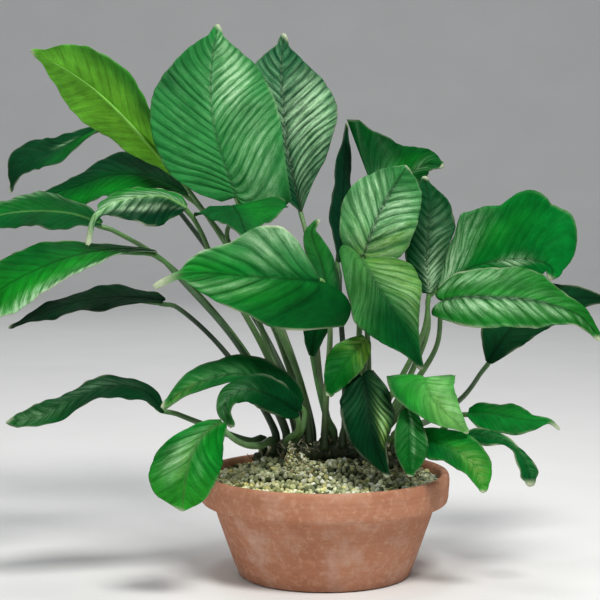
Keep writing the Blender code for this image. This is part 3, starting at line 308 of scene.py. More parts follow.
# ---- the leaves' colours -----------------------------------------------------------------------------------------
# main: the blade's colour, painted darker as painted shade on the leaves that stand behind or under others. far: its
# colour at the tip. ridge: how high the ground between two veins stands, in mm.
# spots: patches of painted highlight, painted shade and tint, as (vein, across, reach along, reach across, strength,
# kind). vein is the place on the midrib where the vein through the spot starts, across is -1 at the left margin and 1
# at the right.
# Colours that spots mix in. pale, white, sea, mild, soft and mist are painted highlights: sheen on the ridges between
# the veins and on faces turned to the light. shade and dark are painted shade. bright is painted light shining through
# a back-lit blade. warm is a yellow-green tint that also carries a little painted sheen. live and moss are saturated
# greens.
SHEEN_GREEN, SHADE_GREEN, WARM, LIVE = (112, 180, 108), (3, 46, 24), (122, 164, 40), (14, 132, 26)
KINDS = dict(pale=SHEEN_GREEN, dark=SHADE_GREEN, warm=WARM, live=LIVE, white=(176, 206, 164), bright=(112, 178, 10), sea=(70, 150, 92),
             shade=(4, 60, 28), mild=(40, 134, 48), soft=(104, 170, 84), mist=(112, 160, 122), moss=(62, 144, 56))
LOOKS = {
    "leaf_top_tall": dict(main=(30, 112, 50), ridge=.95, veins=17, sweep=1.5, vein_shade=.6, crisp=2.6, spots=[(.12, .62, .16, .40, .35, "pale"), (.03, .5, .1, .3, .15, "white"), (.1, .2, .2, .2, .5, "mild"), (.5, .45, .16, .34, 1.15, "pale"), (.75, .4, .2, .4, .7, "pale"), (.3, -.5, .5, .5, .3, "mild"), (.42, -.85, .1, .3, .6, "shade")]),
    "leaf_top_right": dict(main=(12, 76, 44), ridge=.9, veins=17, sweep=1.5, vein_shade=.6, crisp=2.2, spots=[(.3, .6, .3, .45, .9, "pale"), (.45, .4, .14, .3, .6, "white"), (.6, -.3, .3, .6, .5, "sea"), (0, .2, .10, .8, 1, "dark"), (.3, .03, .6, .09, .9, "dark")]),
    # The back-lit leaf's bright yellow-green main and far colours and its bright spot are painted light shining through
    # the blade.
    "leaf_top_left_back_lit": dict(main=(106, 182, 31), far=(99, 176, 35), ridge=.3, veins=13, vein_shade=.5, spots=[(.1, .3, .5, .5, .6, "bright"), (.3, -.95, .5, .35, .75, "live"), (.2, -.8, .3, .2, .5, "shade")]),
    "leaf_back_left_drooping": dict(main=(4, 62, 30), far=(4, 46, 22), ridge=.3, veins=9, margin=.25, rib_shade=.2, matt=.2, spots=[(.3, .1, .08, .12, .6, "pale"), (0, -.5, .3, .5, .4, "live")]),
    "leaf_back_left_long": dict(main=(5, 61, 29), far=(5, 76, 30), ridge=.35, veins=14, matt=.25, spots=[(.3, .8, .5, .5, .8, "dark"), (.3, -.6, .5, .5, .6, "live")]),
    "leaf_left_mid": dict(main=(1, 66, 24), far=(2, 84, 32), ridge=.2, veins=12, rib=.32, sweep=1.3, vein_shade=.15, matt=.2, spots=[(.5, .95, .4, .15, .5, "pale"), (.5, .4, .3, .4, .3, "live")]),
    "leaf_left_curled": dict(main=(14, 92, 36), far=(60, 126, 64), ridge=.6, veins=8, rib=.7, sweep=1.2, margin=.5, finger=.72, tip_from=.80, vein_shade=.45, nib=2.3, plump=.45, crisp=2.2, spots=[(.3, .25, .4, .3, .6, "pale"), (.5, .1, .25, .3, .5, "white"), (.2, .8, .4, .3, .5, "live"), (.15, -.6, .3, .6, 1.2, "dark"), (.45, -.7, .3, .42, 1.2, "dark"), (.3, -.4, .2, .10, .8, "white"), (.75, 0, .2, 1, .8, "pale")]),
    "leaf_left_bright": dict(main=(3, 96, 24), far=(22, 128, 28), ridge=.35, veins=14, margin=.7, sweep=1.3, vein_shade=.28, matt=.1, spots=[(.25, .7, .5, .45, .45, "dark"), (.1, 0, .14, 1, .5, "dark"), (.5, -.5, .4, .35, .9, "live"), (.55, -.82, .22, .2, .8, "pale"), (.35, -.97, .5, .07, 1, "white")]),
    "leaf_left_dim": dict(main=(6, 44, 22), far=(4, 34, 18), ridge=.15, veins=10, margin=.15, vein_shade=.12, matt=.4, spots=[(.4, -.5, .4, .3, .3, "shade")]),
    "leaf_low_left_narrow": dict(main=(3, 54, 26), far=(12, 76, 30), ridge=.2, veins=12, margin=.3, sweep=1.2, vein_shade=.2, matt=.3, spots=[(.3, .5, .4, .5, .3, "dark"), (.4, .5, .2, .4, .3, "sea"), (.8, -.3, .25, .6, .35, "mild"), (.85, .2, .15, .5, .25, "pale")]),
    "leaf_low_left_arching": dict(main=(5, 78, 28), far=(20, 102, 38), ridge=.2, veins=10, vein_shade=.2, matt=.1, spots=[(0, 0, .25, 1, .8, "dark"), (.6, .2, .25, .4, .5, "mild"), (.85, -.3, .15, .6, .3, "warm")]),
    "leaf_low_left_short": dict(main=(4, 58, 22), far=(26, 92, 34), ridge=.2, veins=9, vein_shade=.2, spots=[(0, 0, .25, 1, .8, "dark"), (.7, .2, .2, .5, .3, "sea")]),
    "leaf_bottom_left_round": dict(main=(10, 108, 32), far=(43, 139, 39), ridge=.7, veins=5, sweep=1.6, rib=.2, vein_shade=.7, crisp=1.3, spots=[(.36, .38, .2, .26, .5, "soft"), (.34, .38, .22, .3, .7, "pale"), (.5, .15, .2, .14, .4, "warm"), (.5, -.35, .16, .16, .6, "mild"), (.12, -.3, .16, .5, .5, "live"), (.7, 0, .3, 1, .3, "live")]),
    "leaf_under_top": dict(main=(5, 74, 28), far=(9, 78, 30), ridge=.25, veins=9, vein_shade=.15, matt=.2, spots=[(.2, -.5, .4, .5, .4, "live"), (.2, .15, .5, .2, .5, "shade")]),
    "leaf_glossy_middle": dict(main=(12, 112, 38), far=(30, 128, 46), ridge=.9, veins=6, margin=.8, sweep=1.9, finger=.82, tip_from=.80, plump=.62, vein_shade=.55, nib=2.1, crisp=2.0, spots=[(.06, .62, .2, .4, .2, "mist"), (.03, .9, .10, .22, .55, "white"), (.15, .6, .04, .3, .4, "white"), (.26, .35, .08, .2, .3, "pale"), (.40, .7, .3, .25, .3, "mild"), (.3, -.45, .3, .3, .5, "live"), (.38, -.35, .12, .25, .5, "pale"), (.62, -.4, .1, .3, .5, "mild"), (.5, -.75, .2, .15, .6, "pale"), (.62, .3, .14, .4, .5, "live"), (.0, -.5, .10, .8, .7, "dark"), (.12, .1, .3, .13, .6, "shade"), (.6, .97, .3, .08, .9, "white"), (.7, -.97, .12, .08, .8, "white")]),
    "leaf_hanging_folded": dict(main=(5, 84, 28), far=(5, 81, 31), ridge=.28, veins=11, sweep=1.9, vein_shade=.25, crisp=1.0, rib_shade=.2, spots=[(.02, .1, .16, .9, .25, "soft"), (.1, -.6, .25, .5, .5, "warm"), (.22, -.5, .22, .4, .3, "pale"), (.03, .6, .2, .6, .3, "mild"), (.45, .3, .3, .35, .5, "shade"), (.8, 0, .3, .8, .6, "shade"), (.15, .05, .5, .07, .4, "shade")]),
    "leaf_upright_ribbed": dict(main=(50, 116, 60), far=(38, 110, 52), ridge=1.2, veins=7, sweep=1.6, vein_shade=.8, crisp=2.4, spots=[(.3, .45, .3, .45, .8, "pale"), (.4, .3, .2, .2, .4, "white"), (.3, -.5, .3, .45, .8, "pale"), (.02, .3, .12, .7, .7, "warm"), (.3, 0, .6, .06, .8, "dark"), (.6, -.85, .2, .2, .4, "shade")]),
    "leaf_back_curled_tip": dict(main=(3, 62, 20), far=(7, 79, 28), ridge=.2, veins=12, vein_shade=.12, spots=[(.35, -.2, .2, .4, .5, "live"), (.62, .1, .08, .5, .9, "mild"), (.1, -.3, .2, .5, .4, "shade"), (.15, .3, .1, .4, .6, "sea")]),
    "leaf_back_dim": dict(main=(6, 51, 30), far=(6, 51, 29), ridge=.25, veins=10, margin=.1, matt=.2, spots=[(.5, .4, .3, .4, .2, "shade")]),
    "leaf_dark_behind_ribbed": dict(main=(3, 58, 26), far=(4, 66, 30), ridge=.6, veins=12, sweep=1.2, spots=[(.05, .35, .2, .45, .9, "pale"), (.12, .2, .12, .3, .6, "white"), (.4, .3, .25, .4, .3, "sea"), (.3, -.5, .5, .5, .6, "dark")]),
    "leaf_right_broad": dict(main=(3, 98, 33), far=(5, 106, 38), ridge=.4, veins=13, margin=.15, sweep=1.3, bites=[(.33, -1, -5, .04), (.56, -1, 1.9, .06), (.71, -1, 1.0, .07), (.80, -1, 1.8, .015), (.868, -1, -4.6, .026), (.925, -1, 3.6, .03)], vein_shade=.3, spots=[(.02, -.45, .14, .5, .7, "pale"), (.06, -.35, .04, .4, .6, "white"), (.35, -.5, .25, .35, .4, "live"), (.62, .05, .12, .10, .8, "sea"), (.55, .15, .08, .1, .7, "white"), (.16, -.3, .07, .5, .3, "sea"), (.3, -.8, .3, .12, .3, "dark")]),
    "leaf_right_long": dict(main=(16, 98, 26), far=(20, 102, 28), ridge=.85, veins=11, margin=.6, sweep=1.25, vein_shade=.5, crisp=1.6, spots=[(.3, -.5, .5, .45, .15, "mild"), (.3, .3, .4, .25, .9, "pale"), (.10, -.7, .12, .25, .6, "pale"), (.5, -.3, .2, .2, .1, "pale"), (.3, -.15, .5, .12, .4, "live"), (.3, .04, .5, .08, .8, "dark"), (.4, .97, .5, .05, .3, "white")]),
    "leaf_right_back": dict(main=(3, 48, 22), far=(3, 42, 20), ridge=.2, veins=11, margin=.3, vein_shade=.15, matt=.2, spots=[(.2, -.5, .3, .4, .4, "shade")]),
    "leaf_bottom_bright": dict(main=(38, 132, 46), far=(92, 168, 82), ridge=.4, veins=6, vein_shade=.3, sweep=1.1, rib_shade=.25, spots=[(.45, -.45, .6, .5, 1.0, "soft"), (.62, .35, .34, .6, 1.0, "soft"), (.45, -.45, .4, .4, .4, "pale"), (.5, -.1, .3, .3, .3, "warm"), (.02, .6, .14, .6, .6, "live"), (.3, .02, .5, .05, .5, "live"), (.0, .9, .12, .2, .6, "shade")]),
    "leaf_bottom_dark": dict(main=(3, 36, 18), far=(3, 44, 19), ridge=.6, veins=10, sweep=2.7, crisp=3.2, spots=[(.30, -.55, .14, .22, 1.3, "warm"), (.26, -.5, .1, .14, .8, "pale"), (.1, -.7, .1, .3, .5, "mild"), (.25, .5, .3, .35, .5, "shade")]),
    "leaf_bottom_puckered": dict(main=(5, 90, 26), far=(7, 84, 24), ridge=.4, veins=7, lumpy=1.0, vein_shade=.16, rib_shade=.3, spots=[(.3, .4, .3, .4, .3, "mild"), (.3, -.25, .35, .10, .7, "pale"), (.4, -.7, .4, .3, .3, "mild")]),
    "leaf_bottom_pointed": dict(main=(8, 104, 34), far=(42, 134, 38), ridge=.15, veins=9, sweep=1.2, vein_shade=.08, rib_shade=.2, spots=[(.4, -.4, .4, .4, .4, "live"), (.7, -.1, .22, .5, .6, "warm"), (.7, -.1, .22, .5, .3, "mild"), (.15, .4, .25, .35, .5, "shade")]),
    "leaf_right_low_curled": dict(main=(4, 106, 34), far=(5, 102, 34), ridge=.18, veins=9, vein_shade=.12, margin=.5, tip_from=.84, finger=.86, rib_shade=.25, spots=[(.4, -.4, .4, .4, .35, "live")]),
    "leaf_right_low_twisted": dict(main=(7, 86, 34), far=(7, 80, 34), ridge=.18, veins=8, vein_shade=.12, margin=.7, tip_from=.9, rib_shade=.25, spots=[(.5, -.4, .4, .4, .4, "mild")]),
    "leaf_small_yellow_green": dict(main=(9, 88, 22), far=(5, 80, 22), ridge=.2, veins=5, vein_shade=.1, rib_shade=.2, spots=[(0, -.2, .22, 1.0, .9, "warm"), (.5, .5, .3, .4, .4, "shade")]),
    "leaf_behind_glossy": dict(main=(4, 68, 30), far=(37, 109, 43), ridge=.2, veins=10, vein_shade=.15, spots=[(.5, .3, .4, .4, .3, "live")]),
}


# How much painted sheen (painted highlight) each highlight kind lays on the ridges between the veins.
SHEEN_STRENGTH = dict(pale=0.9, white=1.0, sea=0.7, mild=0.3, warm=0.22)


def linear(rgb):
    c = np.array(rgb, float) / 255
    return np.where(c <= 0.04045, c / 12.92, ((c + 0.055) / 1.055) ** 2.4)


def bump_field(x, y, seed):
    """Slow, soft unevenness between -1 and 1 over the plane, the same on every run."""
    rng = np.random.default_rng(seed)
    total = np.zeros(np.broadcast(x, y).shape)
    for octave in range(3):
        for _ in range(3):
            d = rng.normal(size=2)
            d /= np.hypot(*d)
            f = (0.9 + rng.random()) * 1.9 ** octave
            total = total + np.sin(f * (x * d[0] + y * d[1]) + rng.random() * 6.28) / 1.7 ** octave
    return total / 4.2


# ---- meshes ------------------------------------------------------------------------------------------------------
class Build:
    """Collects parts of one mesh: points in mm, faces, a colour and gloss for each point, flat coordinates and how much
    painted sheen (painted highlight) each point carries.
    """

    def __init__(self):
        self.points, self.faces, self.paint, self.flat, self.slots, self.light, self.count = [], [], [], [], [], [], 0

    def add(self, points, faces, paint, flat=None, slot=0, light=None):
        points = np.asarray(points, float).reshape(-1, 3)
        paint = np.broadcast_to(np.asarray(paint, float), (len(points), 4))
        self.points.append(points)
        self.faces.append(np.asarray(faces) + self.count)
        self.slots.append(np.full(len(faces), slot))
        self.paint.append(paint)
        self.flat.append(points / 10 if flat is None else flat)
        self.light.append(np.zeros(len(points)) if light is None else light)
        self.count += len(points)

    def make(self, name, materials, angle=None):
        v = np.vstack(self.points) * MM
        mesh = bpy.data.meshes.new(name)
        mesh.vertices.add(len(v))
        mesh.vertices.foreach_set("co", v.ravel())
        sizes = np.concatenate([np.full(len(f), f.shape[1]) for f in self.faces])
        loops = np.concatenate([f.ravel() for f in self.faces]).astype(np.int32)
        starts = np.r_[0, np.cumsum(sizes)[:-1]].astype(np.int32)
        mesh.loops.add(len(loops))
        mesh.loops.foreach_set("vertex_index", loops)
        mesh.polygons.add(len(sizes))
        mesh.polygons.foreach_set("loop_start", starts)
        mesh.polygons.foreach_set("material_index", np.concatenate(self.slots).astype(np.int32))
        mesh.update(calc_edges=True)
        mesh.validate()
        paint = mesh.color_attributes.new("paint", "FLOAT_COLOR", "POINT")
        paint.data.foreach_set("color", np.vstack(self.paint).astype(np.float32).ravel())
        flat = mesh.attributes.new("flat", "FLOAT_VECTOR", "POINT")
        flat.data.foreach_set("vector", np.vstack(self.flat).astype(np.float32).ravel())
        light = np.concatenate(self.light)
        if light.any():
            mesh.attributes.new("light", "FLOAT", "POINT").data.foreach_set("value", light.astype(np.float32))
        mesh.shade_smooth()
        if angle:
            mesh.set_sharp_from_angle(angle=math.radians(angle))
        for m in materials:
            mesh.materials.append(m)
        ob = bpy.data.objects.new(name, mesh)
        bpy.context.scene.collection.objects.link(ob)
        return ob


def quads(rows, columns, closed=False, flip=False):
    """Faces of a grid of points, its columns joined round when closed."""
    i = np.arange(rows - 1)[:, None]
    j = np.arange(columns if closed else columns - 1)[None]
    k = (j + 1) % columns
    f = np.stack([i * columns + j, i * columns + k, (i + 1) * columns + k, (i + 1) * columns + j], -1).reshape(-1, 4)
    return f[:, ::-1] if flip else f


def carry(path_t, ahead, n, side):
    """Turns a frame along a list of directions, never twisting it more than the path bends."""
    out = []
    for t in path_t:
        both = ahead + t
        n = unit(n - (n @ t) / (1 + ahead @ t) * both)
        side = unit(side - (side @ t) / (1 + ahead @ t) * both)
        ahead = t
        out.append((n, side))
    return out


def tube(build, path, radii, paint, slot=0, sides=12, shape=None, first=None):
    """A closed round rod along a path, rounded off at both ends; paint has one row a ring."""
    path = np.asarray(path, float)
    t = unit(np.gradient(path, axis=0))
    if first is None:
        n = unit(np.cross(t[0], [0.31, 0.87, 0.21]))
        side = np.cross(t[0], n)
    else:
        n, side = first
    frames = carry(t, t[0], n, side)
    ang = np.linspace(0, 2 * np.pi, sides, endpoint=False)
    form = np.ones(sides) if shape is None else shape(ang)
    rings = np.array([p + r * form[:, None] * (np.cos(ang)[:, None] * s + np.sin(ang)[:, None] * m) for p, r, (m, s) in zip(path, radii, frames)])
    cap0, cap1 = path[0] - t[0] * radii[0] * 0.4, path[-1] + t[-1] * radii[-1] * 0.6
    n_rings = len(path)
    points = np.vstack([rings.reshape(-1, 3), cap0, cap1])
    paint = np.broadcast_to(np.asarray(paint, float), (n_rings, 4))
    colours = np.vstack([np.repeat(paint, sides, axis=0), paint[:1], paint[-1:]])
    length = np.r_[0, np.cumsum(np.linalg.norm(np.diff(path, axis=0), axis=1))]
    flat = np.zeros((len(points), 3))
    flat[:-2, 0] = np.repeat(length, sides) / 10
    flat[:-2, 1] = np.tile(ang, n_rings) / 6
    flat[-1, 0] = length[-1] / 10
    build.add(points, quads(n_rings, sides, closed=True, flip=True), colours, flat, slot)
    base = build.count - len(points)
    j = np.arange(sides)
    k = (j + 1) % sides
    a = np.stack([np.full(sides, sides * n_rings), k, j], 1)
    b = np.stack([np.full(sides, sides * n_rings + 1), (n_rings - 1) * sides + j, (n_rings - 1) * sides + k], 1)
    for f in (a[:, ::-1], b[:, ::-1]):
        build.faces.append(f + base)
        build.slots.append(np.full(sides, slot))


# ---- leaves ------------------------------------------------------------------------------------------------------
def vein_marks(count, rng, crowd):
    """Where on the midrib the side veins start: crowded at the base, from where they fan out, and never quite even."""
    k = np.arange(count + 1) + np.r_[0, rng.uniform(-0.16, 0.16, count - 1), 0]
    return (1 - (1 - k / (count + 1.0)) ** 1.12) ** crowd


FRACTIONS = (0.0, 0.09, 0.24, 0.44, 0.66, 0.88)


def blade_points(leaf, u, v, outline):
    """The blade's middle surface at each u and v of two grids."""
    flat_u = u.ravel()
    p, t, n, s = leaf.frame(leaf.rib, leaf.rib_len, flat_u * leaf.rib_len[-1], np.interp(flat_u, [0, .45, 1], leaf.roll))
    p, t, n, s = (q.reshape(u.shape + (3,)) for q in (p, t, n, s))
    a, right = np.abs(v), v >= 0
    w = np.where(right, width(u, leaf.right), width(u, leaf.left))
    full = w / np.where(right, max(leaf.right), max(leaf.left))
    lift = np.radians(np.where(right, *leaf.fold)) * (1 - 0.3 * u) * np.clip(9 * u, 0, 1)
    high, count, start = leaf.wave
    reach = a * w + outline * a ** 3
    up = np.sin(lift) * reach
    up = up + high * a ** 2 * np.clip(full * 1.6 - 0.2, 0, 1) * np.sin(2 * np.pi * (count * u + start + 0.23 * (v > 0)))
    back = np.where(right, *leaf.lobe) * np.sin(0.72 * np.pi * a ** 0.7) * np.clip(1 - u / 0.3, 0, 1) ** 2
    return p + s * (np.sign(v) * np.cos(lift) * reach)[..., None] + n * up[..., None] - t * back[..., None], n, w


def leaf_paint(look, u, v, place, ground, w, top, seed, strength=1.0):
    """Colour and gloss over a blade, with its painted highlights and painted shade, and how strong its painted sheen
    streaks are.
    """
    a = np.abs(v)
    main, far = linear(look["main"]), linear(look.get("far", look["main"]))
    colour = main + (far - main) * ease((u - 0.45) / 0.5)[..., None]
    gloss = np.full(u.shape, 0.5 + look.get("matt", 0.0))
    soft = bump_field(u * 9, v * 5, seed)
    light = np.zeros(u.shape)
    for vein, across, along_, wide, strength, kind in look["spots"]:
        s = np.exp(-((place - vein) / along_) ** 2 - ((v - across) / wide) ** 2) * strength * (1 + 0.25 * soft)
        # painted highlight: these kinds are laid on the ridges between the veins and add to the painted sheen streaks
        if kind in ("pale", "sea", "warm", "white", "mild"):
            s = s * (0.15 + 0.85 * ground ** look.get("crisp", 1.0))
            light = light + s * SHEEN_STRENGTH[kind]
            s = s * (0.85 if kind == "warm" else 0.42)
        s = np.clip(s, 0, 1)[..., None]
        colour = colour * (1 - s) + linear(KINDS[kind]) * s
    # painted shade in the grooves of the veins
    dark = look.get("vein_shade", 0.36) * np.clip(strength, 0.4, 1.4)
    colour = colour * (1 - dark * (1 - ground) * np.clip(1.25 - a * 0.6, 0, 1) * np.clip(0.25 + a * w / 7, 0, 1))[..., None]
    # painted shade along the sunken midrib, unless the leaf's midrib is pale
    if top:
        rib = np.exp(-(a * w / (1.15 - 0.6 * u)) ** 2)
        pale = look.get("rib", 0.0)
        colour = colour * (1 - look.get("rib_shade", 0.5) * (rib * (pale < 0.3))[..., None])
        colour = colour + (linear((120, 168, 92)) - colour) * (pale * rib)[..., None]
    colour = colour * (1 + 0.14 * soft)[..., None]
    if not top:
        pale = linear((84, 140, 70))
        colour = colour * 0.75 + pale * 0.25 * colour.sum(-1, keepdims=True) / pale.sum()
        gloss = gloss + 0.25
        light = light * 0.3
    # painted highlight on the thick margin rim and on the tip
    margin = look.get("margin", 0.2) * np.clip(0.45 + 1.5 * bump_field(u * 11, np.sign(v) * 4.0, seed + 7), 0.0, 1.2)
    rim_highlight = np.clip(np.exp(-((1 - a) * w / 0.7) ** 2) * margin, 0, 1)
    tip = 0.9 * ease((u + 0.02 * v - look.get("tip_from", 0.95)) / (1 - look.get("tip_from", 0.95)) * 1.2)
    rim_highlight = np.maximum(rim_highlight, tip)
    colour = colour + (linear((182, 192, 160)) - colour) * rim_highlight[..., None]
    light = np.clip(light, 0, 1.7) * (1 - rim_highlight)
    return np.concatenate([np.clip(colour, 0, 1), gloss[..., None]], -1), light


def make_leaf(spec, materials, order):
    leaf = Leaf(**spec)
    look = LOOKS[leaf.name]
    seed = 100 + order
    rng = np.random.default_rng(seed)
    long = leaf.rib_len[-1]
    broad = (max(leaf.right) + max(leaf.left)) / 2 * 0.86
    look = dict(look, veins=look["veins"] + 2)
    marks = vein_marks(look["veins"], rng, look.get("crowd", 1.55))
    number = np.concatenate([k + np.array(FRACTIONS) for k in range(look["veins"])])
    rows = np.interp(number, np.arange(len(marks)), marks)
    rest = np.linspace(marks[-1], 1.0, 9)
    rows = np.r_[rows, rest[:-1], 0.5 * (1 + rest[-2])] * 0.997
    number = np.r_[number, look["veins"] + np.linspace(0, 1, 9)]
    half = int(np.clip(broad / 1.35, 7, 26))
    vs = np.arange(-half, half + 1) / half
    vs = np.sign(vs) * np.abs(vs) ** 1.12
    t, v = np.meshgrid(rows, vs, indexing="ij")
    number = np.repeat(number[:, None], len(vs), 1)
    a = np.abs(v)
    bend = 2.7 * look.get("sweep", 1.25) * broad / long
    u = t ** (1 / (1 + bend * (a + 0.3 * a ** 2)))
    u = np.minimum(u, 0.997)

    phase = number - np.floor(number)
    side_ = np.where(v >= 0, 1, 0)
    strength = 0.55 + 0.9 * rng.random((look["veins"] + 3, 2))[np.floor(number).astype(int), side_]
    ground = np.clip(np.sin(np.pi * phase), 0, 1) ** 0.55
    w0 = np.where(v >= 0, width(u, leaf.right), width(u, leaf.left))
    outline = (0.3 * (ground - 0.5) + 0.9 * bump_field(u * long / 13, np.where(v >= 0, 3.0, 8.0), seed + 3)) * np.clip(w0 / 14, 0, 1) * look.get("ragged", 1.0)
    if "nib" in look:
        end_from = look["finger"]
        nib = look["nib"] * np.sqrt(np.clip((1 - u) / 0.03, 0.02, 1))
        outline = outline + (nib - w0 - outline) * ease((u - end_from + 0.04) / 0.06)
    for where, across, deep, reach in look.get("bites", []):
        outline = outline - np.where(v * across > 0, deep * np.exp(-((u - where) / reach) ** 2), 0)
    grid, face, w = blade_points(leaf, u, v, outline)
    w = np.where(u > look.get("finger", 0.93) - 0.04, np.maximum(w + outline, 0.05), w)
    normal = unit(np.cross(np.gradient(grid, axis=1), np.gradient(grid, axis=0)))
    normal = np.where((normal * face).sum(-1, keepdims=True) < 0, -normal, normal)

    inner = np.clip(a * w / 2.2, 0, 1)
    reach = inner * np.clip((1 - a) * w / 2.6 + 0.25, 0, 1) * np.clip(w / 9, 0, 1) * np.clip((1 - u) / 0.1, 0, 1)
    lift = look["ridge"] * strength * reach * (ground - 0.6)
    lift = lift - 0.5 * np.exp(-(a * w / (1.3 - 0.5 * u)) ** 2) * np.clip(1.05 - u, 0, 1)
    lift = lift + look.get("lumpy", 0.6) * bump_field(u * long / 15, w * v / 13, seed) * np.clip(w / 10, 0, 1) * np.clip(u / 0.06, 0, 1) * np.clip(a * w / 6, 0.12, 1)
    ruffle = np.sin(np.pi * number + 2.4 * bump_field(u * long / 25, side_ * 5.0, seed + 9))
    lift = lift + look.get("ruffle", 0.45) * a ** 5 * ruffle * np.clip(w / 12, 0, 1)
    finger = ease((u - look.get("finger", 0.93)) / 0.05)
    lens = np.sqrt(np.clip(1 - a ** 2, 0, 1))
    thick = 0.34 + 0.5 * np.exp(-(a * w / 5) ** 2)
    thick = np.minimum(thick, 0.12 + w * 0.22)
    thick = thick + finger * w * lens * look.get("plump", 0.8)
    top = grid + normal * (lift * (1 - finger) + 0.22 + 0.5 * finger * w * lens * look.get("plump", 0.8))[..., None]
    bottom = top - normal * thick[..., None]
    flat = np.stack([number, a * w / 10, 2.0 * np.tanh(v * w) + order * 1.7], -1).reshape(-1, 3)
    b = Build()
    paint_top, light_top = leaf_paint(look, u, v, t, ground, w, True, seed, strength)
    paint_low, light_low = leaf_paint(look, u, v, t, ground, w, False, seed, strength)
    nu, nv = u.shape
    m = nu * nv
    points = np.vstack([top.reshape(-1, 3), bottom.reshape(-1, 3)])
    faces = [quads(nu, nv), quads(nu, nv, flip=True) + m]
    ring = np.concatenate([np.arange(nv), np.arange(1, nu) * nv + nv - 1, (nu - 1) * nv + np.arange(nv - 2, -1, -1), np.arange(nu - 2, 0, -1) * nv])
    nxt = np.roll(ring, -1)
    faces.append(np.stack([nxt, ring, ring + m, nxt + m], 1))
    faces = np.vstack(faces)
    # the side that faces out is found from one quad and the blade's normal
    q = points[faces[nv // 2 + (nu // 3) * (nv - 1)]]
    if np.cross(q[1] - q[0], q[2] - q[1]) @ normal[nu // 3, nv // 2] < 0:
        faces = faces[:, ::-1]
    b.add(points, faces, np.vstack([paint_top.reshape(-1, 4), paint_low.reshape(-1, 4)]), np.vstack([flat, flat]), light=np.r_[light_top.ravel(), light_low.ravel()])

    # stalk, running on as the raised rib of the underside
    end = leaf.stalk_len[-1]
    s = np.r_[0, 1.5, np.linspace(4, end - 1.5, int(end / 3.2) + 2)]
    p = along(leaf.stalk, leaf.stalk_len, s)
    p[0] -= np.array([0, 0, 1.2])
    su = np.linspace(1.5, long * 0.86, int(long / 3) + 3)
    q, _, nq, _ = leaf.frame(leaf.rib, leaf.rib_len, su, np.interp(su / long, [0, .45, 1], leaf.roll))
    both = np.minimum(width(su / long, leaf.right), width(su / long, leaf.left))
    taper = np.minimum(1.45 * (1 - su / long) ** 0.9 + 0.2, 0.25 + 0.16 * both)
    r_end = STALK_R[1]
    taper = taper * (1 - ease(1 - su / 10)) + r_end * ease(1 - su / 10)
    q = q - nq * (0.75 + taper)[:, None]
    p = p - nq[0] * ((0.75 + r_end) * ease(1 - (end - s) / 11))[:, None]
    path = np.vstack([p, q])
    r_stalk = STALK_R[0] + (STALK_R[1] - STALK_R[0]) * ease(s / end)
    r_stalk = r_stalk * (1 + 0.35 * np.exp(-s / 6)) * (1 + 0.03 * np.sin(s / 9 + order))
    r_stalk = r_stalk * (1 + 0.10 * np.exp(-((end - s) / 6) ** 2))
    radii = np.r_[r_stalk, taper]
    tone = linear(STALKS.get(leaf.name, (82, 120, 66)))
    low, high = linear((44, 62, 34)), linear((80, 138, 60))
    f = np.r_[s / end, np.ones(len(su))][:, None]
    colour = low * (1 - ease(f * 3)) + tone * ease(f * 3)
    colour = colour + (high - colour) * 0.55 * ease((f - 0.8) / 0.2)
    colour = colour * (1 + 0.12 * bump_field(np.r_[s, end + su][:, None] / 7, np.zeros((len(path), 1)), seed + 5))
    under = linear(look["main"]) * 0.75 + linear((110, 160, 80)) * 0.25
    g = np.r_[np.zeros(len(s)), ease(su / 12)][:, None]
    colour = colour * (1 - g) + under * g
    rows = np.concatenate([np.clip(colour, 0, 1), np.full((len(path), 1), 0.55)], 1)
    tube(b, path, radii, rows, slot=1, sides=12, shape=lambda x: 1 + 0.05 * np.cos(2 * x) + 0.025 * np.cos(5 * x))
    ob = b.make(leaf.name + "_skin", materials)
    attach(ob, "root")
    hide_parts(leaf.name)
    return ob


# Stalk tones by leaf: the darkest, on the stalks of leaves that stand in shade, are painted shade.
STALKS = {
    "leaf_left_dim": (44, 66, 46), "leaf_back_dim": (40, 60, 44), "leaf_back_left_drooping": (48, 74, 50), "leaf_top_tall": (96, 120, 84),
    "leaf_glossy_middle": (112, 150, 92), "leaf_behind_glossy": (92, 146, 84), "leaf_right_back": (92, 116, 84), "leaf_left_bright": (62, 92, 60),
    "leaf_low_left_narrow": (84, 118, 74), "leaf_bottom_left_round": (96, 132, 84), "leaf_top_right": (108, 128, 92),
}


